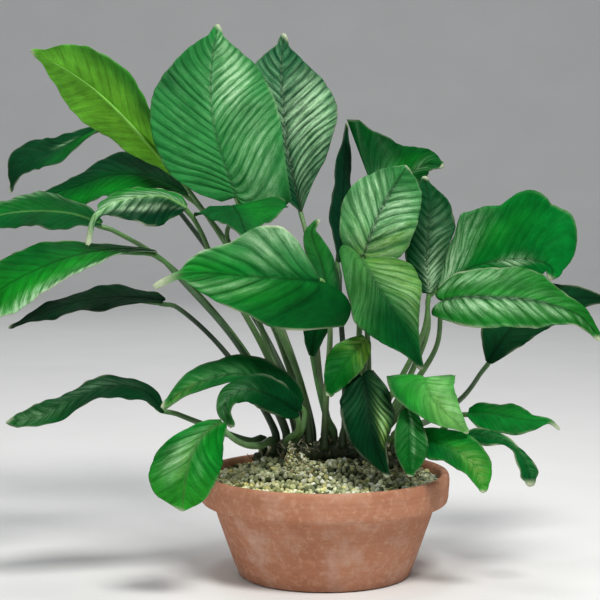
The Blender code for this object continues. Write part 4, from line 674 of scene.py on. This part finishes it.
# ---- materials ---------------------------------------------------------------------------------------------------
class Nodes:
    def __init__(self, name):
        self.material = bpy.data.materials.new(name)
        self.material.use_nodes = True
        self.tree = self.material.node_tree
        self.shader = self.tree.nodes["Principled BSDF"]

    def new(self, kind, **values):
        node = self.tree.nodes.new(kind)
        for key, value in values.items():
            if hasattr(node, key):
                setattr(node, key, value)
            else:
                node.inputs[key].default_value = value
        return node

    def link(self, a, b):
        self.tree.links.new(a, b)

    def attribute(self, name):
        return self.new("ShaderNodeAttribute", attribute_name=name)

    def noise(self, vector, scale, detail=3.0, rough=0.55):
        node = self.new("ShaderNodeTexNoise", Scale=scale, Detail=detail, Roughness=rough)
        self.link(vector, node.inputs["Vector"])
        return node.outputs["Fac"]

    def voronoi(self, vector, scale, feature="F1"):
        node = self.new("ShaderNodeTexVoronoi", feature=feature, Scale=scale)
        self.link(vector, node.inputs["Vector"])
        return node.outputs["Distance"]

    def span(self, value, a, b, c, d):
        node = self.new("ShaderNodeMapRange")
        self.link(value, node.inputs["Value"])
        for key, x in zip(("From Min", "From Max", "To Min", "To Max"), (a, b, c, d)):
            node.inputs[key].default_value = x
        return node.outputs["Result"]

    def sum(self, a, b, how="ADD"):
        node = self.new("ShaderNodeMath", operation=how)
        for socket, x in zip(node.inputs, (a, b)):
            if isinstance(x, (int, float)):
                socket.default_value = x
            else:
                self.link(x, socket)
        return node.outputs[0]

    def mix(self, fac, a, b, how="MIX"):
        node = self.new("ShaderNodeMix", data_type="RGBA", blend_type=how)
        for key, x in ((0, fac), (6, a), (7, b)):
            if isinstance(x, (int, float)):
                node.inputs[key].default_value = x
            elif isinstance(x, tuple):
                node.inputs[key].default_value = (*x, 1)
            else:
                self.link(x, node.inputs[key])
        return node.outputs[2]

    def grey(self, value):
        node = self.new("ShaderNodeCombineColor")
        for k in range(3):
            self.link(value, node.inputs[k])
        return node.outputs[0]

    def bump(self, height, strength, distance):
        node = self.new("ShaderNodeBump", Strength=strength, Distance=distance)
        self.link(height, node.inputs["Height"])
        self.link(node.outputs[0], self.shader.inputs["Normal"])

    def finish(self, colour, rough, **plain):
        self.link(colour, self.shader.inputs["Base Color"])
        self.link(rough, self.shader.inputs["Roughness"])
        for key, value in plain.items():
            self.shader.inputs[key.replace("_", " ")].default_value = value
        return self.material


def leaf_material():
    """Waxy blade: painted veins, pale streaks of painted sheen (painted highlight) that run with them, fine ribbing, a
    net of small veins and a few specks.
    """
    n = Nodes("leaf_skin")
    paint, flat, light = n.attribute("paint"), n.attribute("flat"), n.attribute("light")
    where = n.new("ShaderNodeTexCoord").outputs["Object"]
    cloud = n.span(n.noise(where, 55, 4), 0.3, 0.7, 0.78, 1.22)
    combed = n.new("ShaderNodeMapping")
    combed.inputs["Scale"].default_value = (3.2, 0.9, 1)
    n.link(flat.outputs["Vector"], combed.inputs["Vector"])
    comb = n.noise(combed.outputs[0], 1.0, 4, 0.62)
    fine = n.new("ShaderNodeMapping")
    fine.inputs["Scale"].default_value = (9, 2.2, 1)
    n.link(flat.outputs["Vector"], fine.inputs["Vector"])
    ribbing = n.noise(fine.outputs[0], 1.0, 3, 0.6)
    net = n.span(n.voronoi(where, 420, "DISTANCE_TO_EDGE"), 0.0, 0.10, 0.9, 1.0)
    grain = n.sum(n.span(comb, 0.3, 0.7, 0.80, 1.18), n.span(ribbing, 0.3, 0.7, 0.90, 1.10), "MULTIPLY")
    colour = n.mix(1.0, paint.outputs["Color"], n.grey(n.sum(n.sum(cloud, grain, "MULTIPLY"), net, "MULTIPLY")), "MULTIPLY")
    # painted highlight: pale sheen streaks along the veins, where the painted sheen attribute asks for them
    streak = n.sum(n.span(comb, 0.38, 0.60, 0.05, 1.3), n.span(ribbing, 0.32, 0.62, 0.45, 1.2), "MULTIPLY")
    streak = n.sum(streak, n.span(n.noise(where, 900, 3), 0.35, 0.6, 0.6, 1.1), "MULTIPLY")
    streak = n.sum(n.sum(streak, light.outputs["Fac"], "MULTIPLY"), 0.82, "MINIMUM")
    colour = n.mix(streak, colour, (0.36, 0.57, 0.34))
    specks = n.span(n.voronoi(where, 260), 0.06, 0.13, 1.0, 0.0)
    where_specks = n.span(n.noise(where, 30, 2), 0.56, 0.68, 0.0, 0.55)
    colour = n.mix(n.sum(specks, where_specks, "MULTIPLY"), colour, (0.055, 0.075, 0.02))
    rough = n.sum(n.span(n.noise(where, 160, 3), 0.3, 0.7, -0.06, 0.10), n.sum(paint.outputs["Alpha"], -0.12))
    height = n.sum(n.sum(n.noise(where, 1400, 2), 0.3, "MULTIPLY"), n.sum(n.sum(ribbing, 0.9, "MULTIPLY"), n.sum(comb, 1.2, "MULTIPLY")))
    n.bump(height, 0.5, 0.00030)
    return n.finish(colour, rough, IOR=1.40, Specular_IOR_Level=0.10, Specular_Tint=(0.40, 0.88, 0.46, 1))


def stalk_material():
    """Stalk: lengthwise fibres, dull green with brown freckles."""
    n = Nodes("stalk_skin")
    paint, flat = n.attribute("paint"), n.attribute("flat")
    where = n.new("ShaderNodeTexCoord").outputs["Object"]
    squeeze = n.new("ShaderNodeMapping")
    squeeze.inputs["Scale"].default_value = (1.2, 34, 1)
    n.link(flat.outputs["Vector"], squeeze.inputs["Vector"])
    fibre = n.noise(squeeze.outputs[0], 1.0, 3)
    cloud = n.span(n.noise(where, 90, 3), 0.3, 0.7, 0.78, 1.2)
    colour = n.mix(1.0, paint.outputs["Color"], n.grey(n.sum(cloud, n.span(fibre, 0.3, 0.7, 0.8, 1.18), "MULTIPLY")), "MULTIPLY")
    freckle = n.span(n.voronoi(where, 420), 0.12, 0.2, 0.45, 0.0)
    colour = n.mix(freckle, colour, (0.06, 0.055, 0.022))
    rough = n.span(n.noise(where, 300, 2), 0.3, 0.7, 0.36, 0.55)
    n.bump(fibre, 0.5, 0.00025)
    return n.finish(colour, rough, IOR=1.45)


def rhizome_material():
    n = Nodes("rhizome_skin")
    where = n.new("ShaderNodeTexCoord").outputs["Object"]
    paint = n.attribute("paint")
    big = n.noise(where, 120, 4)
    colour = n.mix(n.span(big, 0.42, 0.62, 0.0, 1.0), (0.014, 0.036, 0.012), (0.045, 0.060, 0.024))
    colour = n.mix(n.span(n.noise(where, 480, 3), 0.58, 0.70, 0.0, 0.6), colour, (0.17, 0.16, 0.08))
    colour = n.mix(0.35, colour, paint.outputs["Color"])
    rough = n.span(big, 0.3, 0.7, 0.55, 0.8)
    n.bump(n.sum(n.noise(where, 700, 3), n.voronoi(where, 350)), 0.6, 0.0005)
    return n.finish(colour, rough)


def root_material():
    n = Nodes("root_skin")
    where = n.new("ShaderNodeTexCoord").outputs["Object"]
    paint = n.attribute("paint")
    colour = n.mix(1.0, paint.outputs["Color"], n.grey(n.span(n.noise(where, 500, 3), 0.3, 0.7, 0.6, 1.3)), "MULTIPLY")
    n.bump(n.noise(where, 1500, 2), 0.4, 0.0002)
    return n.finish(colour, n.span(n.noise(where, 200, 2), 0.3, 0.7, 0.6, 0.85))


def gravel_material():
    """Mineral grains, each with its own colour, darker veins and a worn, slightly damp surface."""
    n = Nodes("gravel_grain")
    where = n.new("ShaderNodeTexCoord").outputs["Object"]
    paint = n.attribute("paint")
    streak = n.span(n.noise(where, 700, 4, 0.65), 0.34, 0.66, 0.72, 1.18)
    speck = n.span(n.voronoi(where, 1500), 0.1, 0.35, 0.78, 1.0)
    colour = n.mix(1.0, paint.outputs["Color"], n.grey(n.sum(streak, speck, "MULTIPLY")), "MULTIPLY")
    stain = n.span(n.noise(where, 260, 3), 0.58, 0.72, 0.0, 0.5)
    colour = n.mix(stain, colour, (0.23, 0.20, 0.085))
    rough = n.span(n.noise(where, 900, 2), 0.3, 0.7, 0.45, 0.8)
    n.bump(n.noise(where, 1800, 3), 0.5, 0.0003)
    return n.finish(colour, rough)


def clay_material():
    """Unglazed clay: warm body, turning lines, pores, grog and a pale bloom of lime that gathers low."""
    n = Nodes("fired_clay")
    where = n.new("ShaderNodeTexCoord").outputs["Object"]
    split = n.new("ShaderNodeSeparateXYZ")
    n.link(where, split.inputs[0])
    z = split.outputs["Z"]
    big = n.noise(where, 22, 4)
    colour = n.mix(n.span(big, 0.35, 0.65, 0.0, 1.0), (0.37, 0.150, 0.080), (0.47, 0.215, 0.125))
    colour = n.mix(n.span(n.noise(where, 210, 4, 0.7), 0.5, 0.66, 0.0, 0.5), colour, (0.60, 0.34, 0.22))
    bloom = n.sum(n.span(n.noise(where, 38, 5, 0.65), 0.50, 0.74, 0.0, 1.0), n.span(z, 0.0, 0.068, 0.42, 0.20), "MULTIPLY")
    colour = n.mix(bloom, colour, (0.70, 0.62, 0.54))
    low = n.sum(n.span(z, 0.0, 0.013, 0.45, 0.0), n.span(n.noise(where, 60, 3), 0.3, 0.7, 0.3, 1.0), "MULTIPLY")
    colour = n.mix(low, colour, (0.17, 0.085, 0.055))
    pores = n.span(n.voronoi(where, 620), 0.05, 0.14, 0.55, 1.0)
    colour = n.mix(1.0, colour, n.grey(pores), "MULTIPLY")
    lines = n.new("ShaderNodeMapping")
    lines.inputs["Scale"].default_value = (2, 2, 420)
    n.link(where, lines.inputs["Vector"])
    turned_ = n.noise(lines.outputs[0], 1.0, 4, 0.6)
    colour = n.mix(1.0, colour, n.grey(n.span(turned_, 0.3, 0.7, 0.93, 1.06)), "MULTIPLY")
    rough = n.span(n.noise(where, 140, 3), 0.3, 0.7, 0.78, 0.95)
    n.bump(n.sum(n.sum(turned_, 1.1, "MULTIPLY"), n.sum(n.noise(where, 900, 3), n.sum(pores, 0.6, "MULTIPLY"))), 0.55, 0.0004)
    return n.finish(colour, rough, Specular_IOR_Level=0.3)


# The gravel's body under the loose grains: nearly black, as painted shade that shows in the gaps between the grains.
def gap_shade_material():
    n = Nodes("gravel_bed")
    where = n.new("ShaderNodeTexCoord").outputs["Object"]
    colour = n.mix(n.span(n.voronoi(where, 300), 0.1, 0.6, 0.0, 1.0), (0.07, 0.065, 0.04), (0.012, 0.013, 0.008))
    n.bump(n.voronoi(where, 300), 0.8, 0.001)
    return n.finish(colour, n.span(n.noise(where, 200, 2), 0.3, 0.7, 0.8, 0.95))


# ---- pot ---------------------------------------------------------------------------------------------------------
def rounded(profile, times=3, cut=0.22):
    """Cuts the corners of an open profile again and again, its two ends kept."""
    p = [np.array(q, float) for q in profile]
    for _ in range(times):
        out = [p[0]]
        for a, b in zip(p, p[1:]):
            out += [a + (b - a) * cut, a + (b - a) * (1 - cut)]
        out.append(p[-1])
        p = out
    return np.array(p)


def make_pot(material):
    profile = rounded([(0, 0)] + POT_PROFILE + [(0, POT_FLOOR)], 2, 0.2)[1:-1]
    profile[:, 1] = np.maximum(profile[:, 1], 0)
    sides = 120
    ang = np.linspace(0, 2 * np.pi, sides, endpoint=False)
    r = profile[:, 0][:, None] * (1 + 0.0012 * np.sin(2 * ang + 0.6) + 0.0008 * np.sin(5 * ang))[None]
    r = r + 0.10 * np.sin(profile[:, 1][:, None] * 1.7 + 0.7 * np.sin(ang))
    z = np.repeat(profile[:, 1][:, None], sides, 1)
    points = np.stack([r * np.cos(ang), r * np.sin(ang), z], -1)
    rows = len(profile)
    b = Build()
    b.add(np.vstack([points.reshape(-1, 3), [[0, 0, 0]], [[0, 0, POT_FLOOR]]]), quads(rows, sides, closed=True), (0.4, 0.2, 0.1, 0.5))
    j = np.arange(sides)
    k = (j + 1) % sides
    b.faces.append(np.stack([np.full(sides, rows * sides), k, j], 1))
    b.faces.append(np.stack([np.full(sides, rows * sides + 1), (rows - 1) * sides + j, (rows - 1) * sides + k], 1))
    b.slots += [np.zeros(sides), np.zeros(sides)]
    ob = b.make("pot_clay", [material], angle=45)
    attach(ob, "root")
    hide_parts("pot")


# ---- gravel ------------------------------------------------------------------------------------------------------
GRAIN_TONES = [((222, 226, 186), 6), ((208, 212, 164), 5), ((182, 190, 144), 4), ((150, 160, 114), 3), ((216, 214, 146), 3), ((114, 126, 84), 2),
               ((236, 240, 220), 4), ((176, 170, 102), 1), ((72, 86, 54), 2)]


def mound(r):
    return GRAVEL_EDGE_Z + GRAVEL_MOUND * ease(1 - r / 76)


def bed_height(x, y):
    """The bed's surface, banked up a little in front of the stem."""
    return float(mound(np.hypot(x, y)) + 5.5 * ease(1.25 - np.hypot((x - 2) / 62, (y + 16) / 19)))


# Heaps on the bed: middle, reach sideways and away, height, size of grain, how many, share of brown, grey share.
HEAPS = [
    (at(300, 458, -25), 9, 5, 11, 1.1, 420, .3, .1), (at(290, 455, -25), 4.5, 4, 20, 1.0, 330, .3, .1),
    (at(305, 463, -25), 14, 6, 5, 1.6, 130, .15, .1), (at(355, 465, -19), 19, 7, 4, 1.9, 130, .1, .1),
    (at(448, 472, -24), 17, 11, 7, 1.7, 260, 0, 1.0), (at(398, 470, -20), 16, 7, 2.5, 1.9, 90, .1, .2),
    (at(262, 463, -18), 18, 9, 10, 1.95, 330, 0, .1),
]


def grain_shapes(count, subdivisions, rng):
    """Unit grains: balls with flats cut on them."""
    bm = bmesh.new()
    bmesh.ops.create_icosphere(bm, subdivisions=subdivisions, radius=1)
    v = np.array([tuple(q.co) for q in bm.verts])
    f = np.array([[q.index for q in face.verts] for face in bm.faces])
    bm.free()
    shapes = []
    for _ in range(count):
        p = v.copy()
        for _ in range(9):
            n = rng.normal(size=3)
            n /= np.linalg.norm(n)
            d = rng.uniform(0.58, 0.86)
            over = np.maximum(p @ n - d, 0)
            p -= over[:, None] * n
        p += rng.normal(size=p.shape) * 0.02
        shapes.append(p / np.abs(p).max())
    return shapes, f


def make_gravel(material, bed):
    rng = np.random.default_rng(41)
    stem = []
    for line in RHIZOME:
        pts = np.array(line, float)
        path, length = curve(pts[:, :3])
        s = np.linspace(0, length[-1], 24)
        stem.append(np.c_[along(path, length, s), np.interp(np.linspace(0, len(line) - 1, 24), range(len(line)), pts[:, 3])])
    stem = np.vstack(stem)
    tones = np.array([linear(t) for t, _ in GRAIN_TONES])
    odds = np.array([w for _, w in GRAIN_TONES], float)
    odds /= odds.sum()
    pitch = 3.85
    pieces = []
    for layer, (drop, sub, name) in enumerate([(1.35, 2, "gravel_top_grains"), (3.9, 2, "gravel_middle_grains"), (6.2, 1, "gravel_lower_grains")]):
        shapes, faces = grain_shapes(28, sub, rng)
        b = Build()
        n = int(76 / pitch) + 2
        spots = []
        for i in range(-n, n + 1):
            for j in range(-n, n + 1):
                x = (i + 0.5 * (j % 2) + 0.33 * layer) * pitch
                y = (j + 0.37 * layer) * pitch * 0.866
                spots.append((x + rng.normal() * 0.55, y + rng.normal() * 0.55))
        for x, y in spots:
            r = math.hypot(x, y)
            limit = inside_radius(GRAVEL_EDGE_Z - drop) - 1.9
            if r > limit:
                if r > limit + 1.2:
                    continue
                x, y, r = x * limit / r, y * limit / r, limit
            size = 2.08 * rng.uniform(0.80, 1.18)
            z = bed_height(x, y) - drop + rng.normal() * 0.45 + 0.5 * math.sin(x / 9 + 1) * math.cos(y / 8)
            gap = np.linalg.norm(stem[:, :3] - (x, y, z), axis=1) - stem[:, 3]
            if gap.min() < 0.9:
                k = gap.argmin()
                z = stem[k, 2] - math.sqrt(max((stem[k, 3] + 1.3) ** 2 - np.sum((stem[k, :2] - (x, y)) ** 2), 0))
                if z > bed_height(x, y) - 0.6:
                    continue
            q = rng.normal(size=4)
            q /= np.linalg.norm(q)
            a, c, d, e = q
            turn = np.array([[1 - 2 * (d * d + e * e), 2 * (c * d - a * e), 2 * (c * e + a * d)],
                             [2 * (c * d + a * e), 1 - 2 * (c * c + e * e), 2 * (d * e - a * c)],
                             [2 * (c * e - a * d), 2 * (d * e + a * c), 1 - 2 * (c * c + d * d)]])
            stretch = np.array([rng.uniform(0.95, 1.15), rng.uniform(0.8, 1.0), rng.uniform(0.66, 0.9)])
            p = (shapes[rng.integers(len(shapes))] * stretch) @ turn.T * size + (x, y, z)
            tone = tones[rng.choice(len(tones), p=odds)] * rng.uniform(0.66, 1.2)
            # grains near the stem are darker and greener; grains to the left, away from the stem, are paler and warmer
            near = float(ease(1 - gap.min() / 26))
            paler_left = float(ease((6 - x) / 46)) * (1 - near)
            tone = tone * (1 + np.array((0.34, 0.24, 0.02)) * paler_left)
            tone = tone * (1 - 0.62 * near) + linear((52, 74, 34)) * 0.30 * near
            p[:, 2] = np.minimum(p[:, 2], POT_H + 8)
            b.add(p, faces, (*np.clip(tone, 0, 1), 0.6))
        ob = b.make(name, [material], angle=38)
        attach(ob, "root")
        pieces.append(ob)
    # grains heaped against the crown and in low mounds beside it
    shapes, faces = grain_shapes(24, 2, rng)
    small, small_faces = grain_shapes(16, 1, rng)
    b = Build()
    brown, grey = linear((142, 126, 78)), linear((150, 156, 128))
    for middle, wide, deep, tall, size, count, browns, greys in HEAPS:
        for k in range(count):
            turn, out = rng.uniform(0, 2 * np.pi), math.sqrt(rng.random())
            x, y = middle[0] + wide * out * math.cos(turn), middle[1] + deep * out * math.sin(turn)
            if math.hypot(x, y) > inside_radius(GRAVEL_EDGE_Z) - 3:
                continue
            floor_ = bed_height(x, y) - 1.0
            z = floor_ + tall * (1 - out ** 1.5) * rng.uniform(0.15, 1.0)
            spin = np.array(Matrix.Rotation(rng.uniform(0, 6.28), 3, Vector(rng.normal(size=3))))
            stretch = np.array([rng.uniform(0.95, 1.2), rng.uniform(0.75, 1.0), rng.uniform(0.6, 0.9)])
            form, mesh = (shapes, faces) if size > 1.3 else (small, small_faces)
            q = (form[rng.integers(len(form))] * stretch) @ spin.T * size * rng.uniform(0.75, 1.2) + (x, y, z)
            tone = tones[rng.choice(len(tones), p=odds)] * rng.uniform(0.7, 1.0)
            tone = tone + (brown - tone) * (0.8 * (rng.random() < browns)) + (grey - tone) * 0.7 * greys * rng.uniform(0.4, 1.2)
            b.add(q, mesh, (*np.clip(tone, 0, 1), 0.6))
    ob = b.make("gravel_heaped_grains", [material], angle=38)
    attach(ob, "root")
    pieces.append(ob)
    # the body of the gravel under the loose grains, in place of the imported one; its nearly black colour is painted
    # shade in the gaps between the grains
    b = Build()
    profile = [(inside_radius(z) - 0.8, z) for z in (POT_FLOOR + 0.4, 14, 30, 44, 54)]
    profile += [(r, float(mound(r)) - 7.2) for r in (73, 62, 48, 34, 18)]
    ang = np.linspace(0, 2 * np.pi, 72, endpoint=False)
    pts = np.array([[(r * math.cos(t), r * math.sin(t), z) for t in ang] for r, z in profile])
    rows, sides = len(profile), 72
    b.add(np.vstack([pts.reshape(-1, 3), [[0, 0, profile[0][1]]], [[0, 0, float(mound(0)) - 7.2]]]), quads(rows, sides, closed=True), (0.1, 0.1, 0.05, 0.8))
    j = np.arange(sides)
    k = (j + 1) % sides
    b.faces.append(np.stack([np.full(sides, rows * sides), k, j], 1))
    b.faces.append(np.stack([np.full(sides, rows * sides + 1), (rows - 1) * sides + j, (rows - 1) * sides + k], 1))
    b.slots += [np.zeros(sides), np.zeros(sides)]
    ob = b.make("gravel_bed_body", [bed])
    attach(ob, "root")
    for piece in pieces + [ob]:
        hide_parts("gravel")


# ---- rhizome, old leaf bases and roots ---------------------------------------------------------------------------
def make_rhizome(skin, root_skin):
    rng = np.random.default_rng(7)
    b = Build()
    lines = []
    for line in RHIZOME:
        pts = np.array(line, float)
        path, length = curve(pts[:, :3])
        s = np.linspace(0, length[-1], max(8, int(length[-1] / 1.6)))
        r = np.interp(s / length[-1] * (len(line) - 1), range(len(line)), pts[:, 3])
        r = r * (1 + 0.06 * np.sin(s * 2 * np.pi / 5.2 + rng.random() * 6)) + 0.4 * bump_field(s / 5, s * 0, 3)
        p = along(path, length, s)
        lines.append((p, r))
        tube(b, p, r, (0.08, 0.1, 0.04, 0.7), sides=20, shape=lambda x: 1 + 0.03 * np.cos(3 * x + 1))
    rough = b.make("rhizome_rough", [skin])
    remesh = rough.modifiers.new("skin", "REMESH")
    remesh.mode = "VOXEL"
    remesh.voxel_size = 0.00075
    mesh = bpy.data.meshes.new_from_object(rough.evaluated_get(bpy.context.evaluated_depsgraph_get()))
    bpy.data.objects.remove(rough)
    co = np.zeros(len(mesh.vertices) * 3)
    mesh.vertices.foreach_get("co", co)
    co = co.reshape(-1, 3)
    no = np.zeros_like(co).ravel()
    mesh.vertices.foreach_get("normal", no)
    no = no.reshape(-1, 3)
    lump = bump_field(co[:, 0] * 520 + co[:, 2] * 300, co[:, 1] * 520 - co[:, 2] * 210, 11)
    fine = bump_field(co[:, 0] * 1500 + co[:, 2] * 700, co[:, 1] * 1400 - co[:, 2] * 900, 12)
    co = co + no * (lump * 0.00055 + fine * 0.00032)[:, None]
    mesh.vertices.foreach_set("co", co.ravel())
    mesh.update()
    mesh.name = "rhizome_stem"
    if not mesh.materials:
        mesh.materials.append(skin)
    if "paint" not in mesh.attributes:
        paint = mesh.color_attributes.new("paint", "FLOAT_COLOR", "POINT")
        tone = np.clip(0.5 + 0.5 * bump_field(co[:, 0] * 200, co[:, 1] * 200, 5), 0, 1)[:, None]
        colour = linear((40, 64, 30)) * tone + linear((70, 70, 42)) * (1 - tone)
        paint.data.foreach_set("color", np.c_[colour, np.full(len(co), 0.7)].astype(np.float32).ravel())
    mesh.shade_smooth()
    ob = bpy.data.objects.new("rhizome_stem", mesh)
    bpy.context.scene.collection.objects.link(ob)
    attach(ob, "root")
    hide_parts("rhizome")

    # stubs of old stalks and their papery sheaths
    b = Build()
    for k in range(74):
        p, r = lines[0] if k % 2 else lines[1 + (k // 2) % (len(lines) - 1)]
        i = rng.integers(2, len(p) - 2)
        lean = rng.normal(size=2) * 0.5
        up = unit(np.array([lean[0], lean[1] - 0.15, 1.0]))
        start = p[i] + up * (r[i] - 1.5)
        long = rng.uniform(2.0, 7) if k % 3 else rng.uniform(5, 11)
        steps = np.linspace(0, 1, 7)
        bend = rng.normal(size=3) * 0.8
        path = start + up * (steps * long)[:, None] + bend * (steps ** 2)[:, None]
        pale = linear((196, 190, 150)) if rng.random() < 0.5 else linear((112, 104, 68))
        shade = linear((70, 66, 40))
        rows = np.concatenate([shade + (pale - shade) * steps[:, None], np.full((7, 1), 0.7)], 1)
        rr = rng.uniform(0.7, 1.7) * np.array([1.15, 1.05, 1.0, 0.95, 0.86, 0.7, 0.35])
        tube(b, path, rr, rows, sides=9, shape=lambda x: 1 + 0.14 * np.cos(3 * x + 0.4))
    # loose fibres of old sheaths, standing and curling round the stalks' feet
    for k in range(230):
        p, r = lines[0] if rng.random() < 0.5 else lines[rng.integers(len(lines))]
        i = rng.integers(1, len(p) - 1)
        lean = np.array([rng.normal() * 0.9, -abs(rng.normal()) * 0.9, rng.uniform(0.1, 1.0)])
        start = p[i] + unit(lean) * (r[i] - 0.6)
        if k < 20:
            start = HEAPS[0][0] + np.array([rng.normal() * 4.5, rng.uniform(-3, 3), rng.uniform(0, 12) - 3])
        steps = np.linspace(0, 1, 8)
        curl = rng.normal(size=3) * 1.8
        path = start + unit(lean) * (steps * rng.uniform(1.5, 5.0))[:, None] + curl * (steps ** 2)[:, None] + np.cumsum(rng.normal(size=(8, 3)) * 0.22, axis=0)
        path[:, 2] = np.maximum(path[:, 2], mound(np.hypot(path[:, 0], path[:, 1])) - 2)
        pale = linear((176, 172, 138)) * rng.uniform(0.25, 1.0)
        rows = np.concatenate([np.broadcast_to(pale, (8, 3)) * (0.7 + 0.3 * steps[:, None]), np.full((8, 1), 0.7)], 1)
        tube(b, path, np.linspace(0.42, 0.16, 8) * rng.uniform(0.7, 1.3), rows, sides=6)
    # roots that arch out and dive between the grains
    for k in range(64):
        p, r = lines[rng.integers(len(lines))]
        i = rng.integers(1, len(p) - 1)
        turn = rng.uniform(0, 2 * np.pi)
        out = np.array([math.cos(turn), math.sin(turn), 0.0])
        start = p[i] + out * r[i] * 0.75 + np.array([0, 0, -1.0])
        reach = rng.uniform(6, 20)
        steps = np.linspace(0, 1, 14)
        wiggle = np.cumsum(rng.normal(size=(14, 3)), axis=0) * 0.22
        wiggle -= wiggle[0]
        path = start + out * (steps * reach)[:, None] + wiggle
        ground = mound(np.hypot(path[:, 0], path[:, 1])) - 0.4
        path[:, 2] = start[2] * (1 - steps) ** 1.4 + (ground - 4.5) * (1 - (1 - steps) ** 1.4) + 1.8 * np.sin(steps * np.pi)
        pale = linear((150, 148, 104)) * rng.uniform(0.6, 1.25)
        rows = np.concatenate([np.broadcast_to(pale, (14, 3)) * (1 - 0.35 * steps[:, None]), np.full((14, 1), 0.7)], 1)
        tube(b, path, np.linspace(0.85, 0.4, 14) * rng.uniform(0.75, 1.15), rows, sides=7)
    ob = b.make("rhizome_roots", [root_skin])
    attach(ob, "root")


# ---- stage -------------------------------------------------------------------------------------------------------
def make_stage():
    n = Nodes("floor_paper")
    where = n.new("ShaderNodeTexCoord").outputs["Object"]
    n.finish(n.mix(n.span(n.noise(where, 8, 2), 0.3, 0.7, 0.0, 1.0), (0.80, 0.80, 0.79), (0.83, 0.83, 0.82)), n.span(n.noise(where, 40, 2), 0.3, 0.7, 0.85, 0.95))
    # a sweep: flat floor that curves up behind
    profile = [(-7.0, 0.0), (1.9, 0.0)] + [(1.9 + 1.2 * math.sin(t), 1.2 - 1.2 * math.cos(t)) for t in np.linspace(0.1, math.pi / 2, 14)] + [(3.1, 4.5)]
    pts = np.array([[(x, y, z - 0.0002) for x in np.linspace(-8, 8, 3)] for y, z in profile])
    mesh = bpy.data.meshes.new("floor")
    mesh.from_pydata([tuple(q) for q in pts.reshape(-1, 3)], [], [tuple(int(i) for i in q) for q in quads(len(profile), 3)])
    mesh.materials.append(n.material)
    mesh.shade_smooth()
    floor = bpy.data.objects.new("floor", mesh)
    bpy.context.scene.collection.objects.link(floor)

    def lamp(name, place, target, size, power, colour=(1, 1, 1)):
        data = bpy.data.lights.new(name, "AREA")
        data.shape = "RECTANGLE"
        data.size, data.size_y = size
        data.energy = power
        data.color = colour
        ob = bpy.data.objects.new(name, data)
        ob.location = place
        ob.rotation_euler = (Vector(target) - Vector(place)).to_track_quat("-Z", "Y").to_euler()
        bpy.context.scene.collection.objects.link(ob)

    lamp("key", (0.30, -0.80, 1.30), (0, 0, 0.18), (0.45, 0.35), 18, (1.0, 0.99, 0.96))
    lamp("top", (-0.1, 0.20, 1.5), (0, 0, 0.15), (0.6, 0.5), 7)
    lamp("left", (-1.3, -0.6, 0.7), (0, 0, 0.2), (0.5, 0.6), 3.5, (0.97, 0.99, 1.0))
    lamp("back", (-0.3, 1.5, 0.9), (0, 0, 0.2), (0.9, 0.7), 2)
    world = bpy.data.worlds.new("studio")
    world.use_nodes = True
    world.node_tree.nodes["Background"].inputs[0].default_value = (0.92, 0.95, 1.0, 1)
    world.node_tree.nodes["Background"].inputs[1].default_value = 0.27
    bpy.context.scene.world = world
    bpy.context.scene.view_settings.view_transform = "Standard"

    data = bpy.data.cameras.new("camera")
    data.sensor_width = 36
    data.lens = 36 * SPREAD / 600
    data.clip_start, data.clip_end = 0.05, 20
    camera = bpy.data.objects.new("camera", data)
    camera.location = Vector(EYE) * MM
    camera.rotation_euler = (math.radians(90) - TILT, 0, 0)
    bpy.context.scene.collection.objects.link(camera)
    bpy.context.scene.camera = camera


make_stage()
blade, stalk_skin = leaf_material(), stalk_material()
for index, spec in enumerate(LEAVES):
    make_leaf(spec, [blade, stalk_skin], index)
make_pot(clay_material())
make_gravel(gravel_material(), gap_shade_material())
make_rhizome(rhizome_material(), root_material())
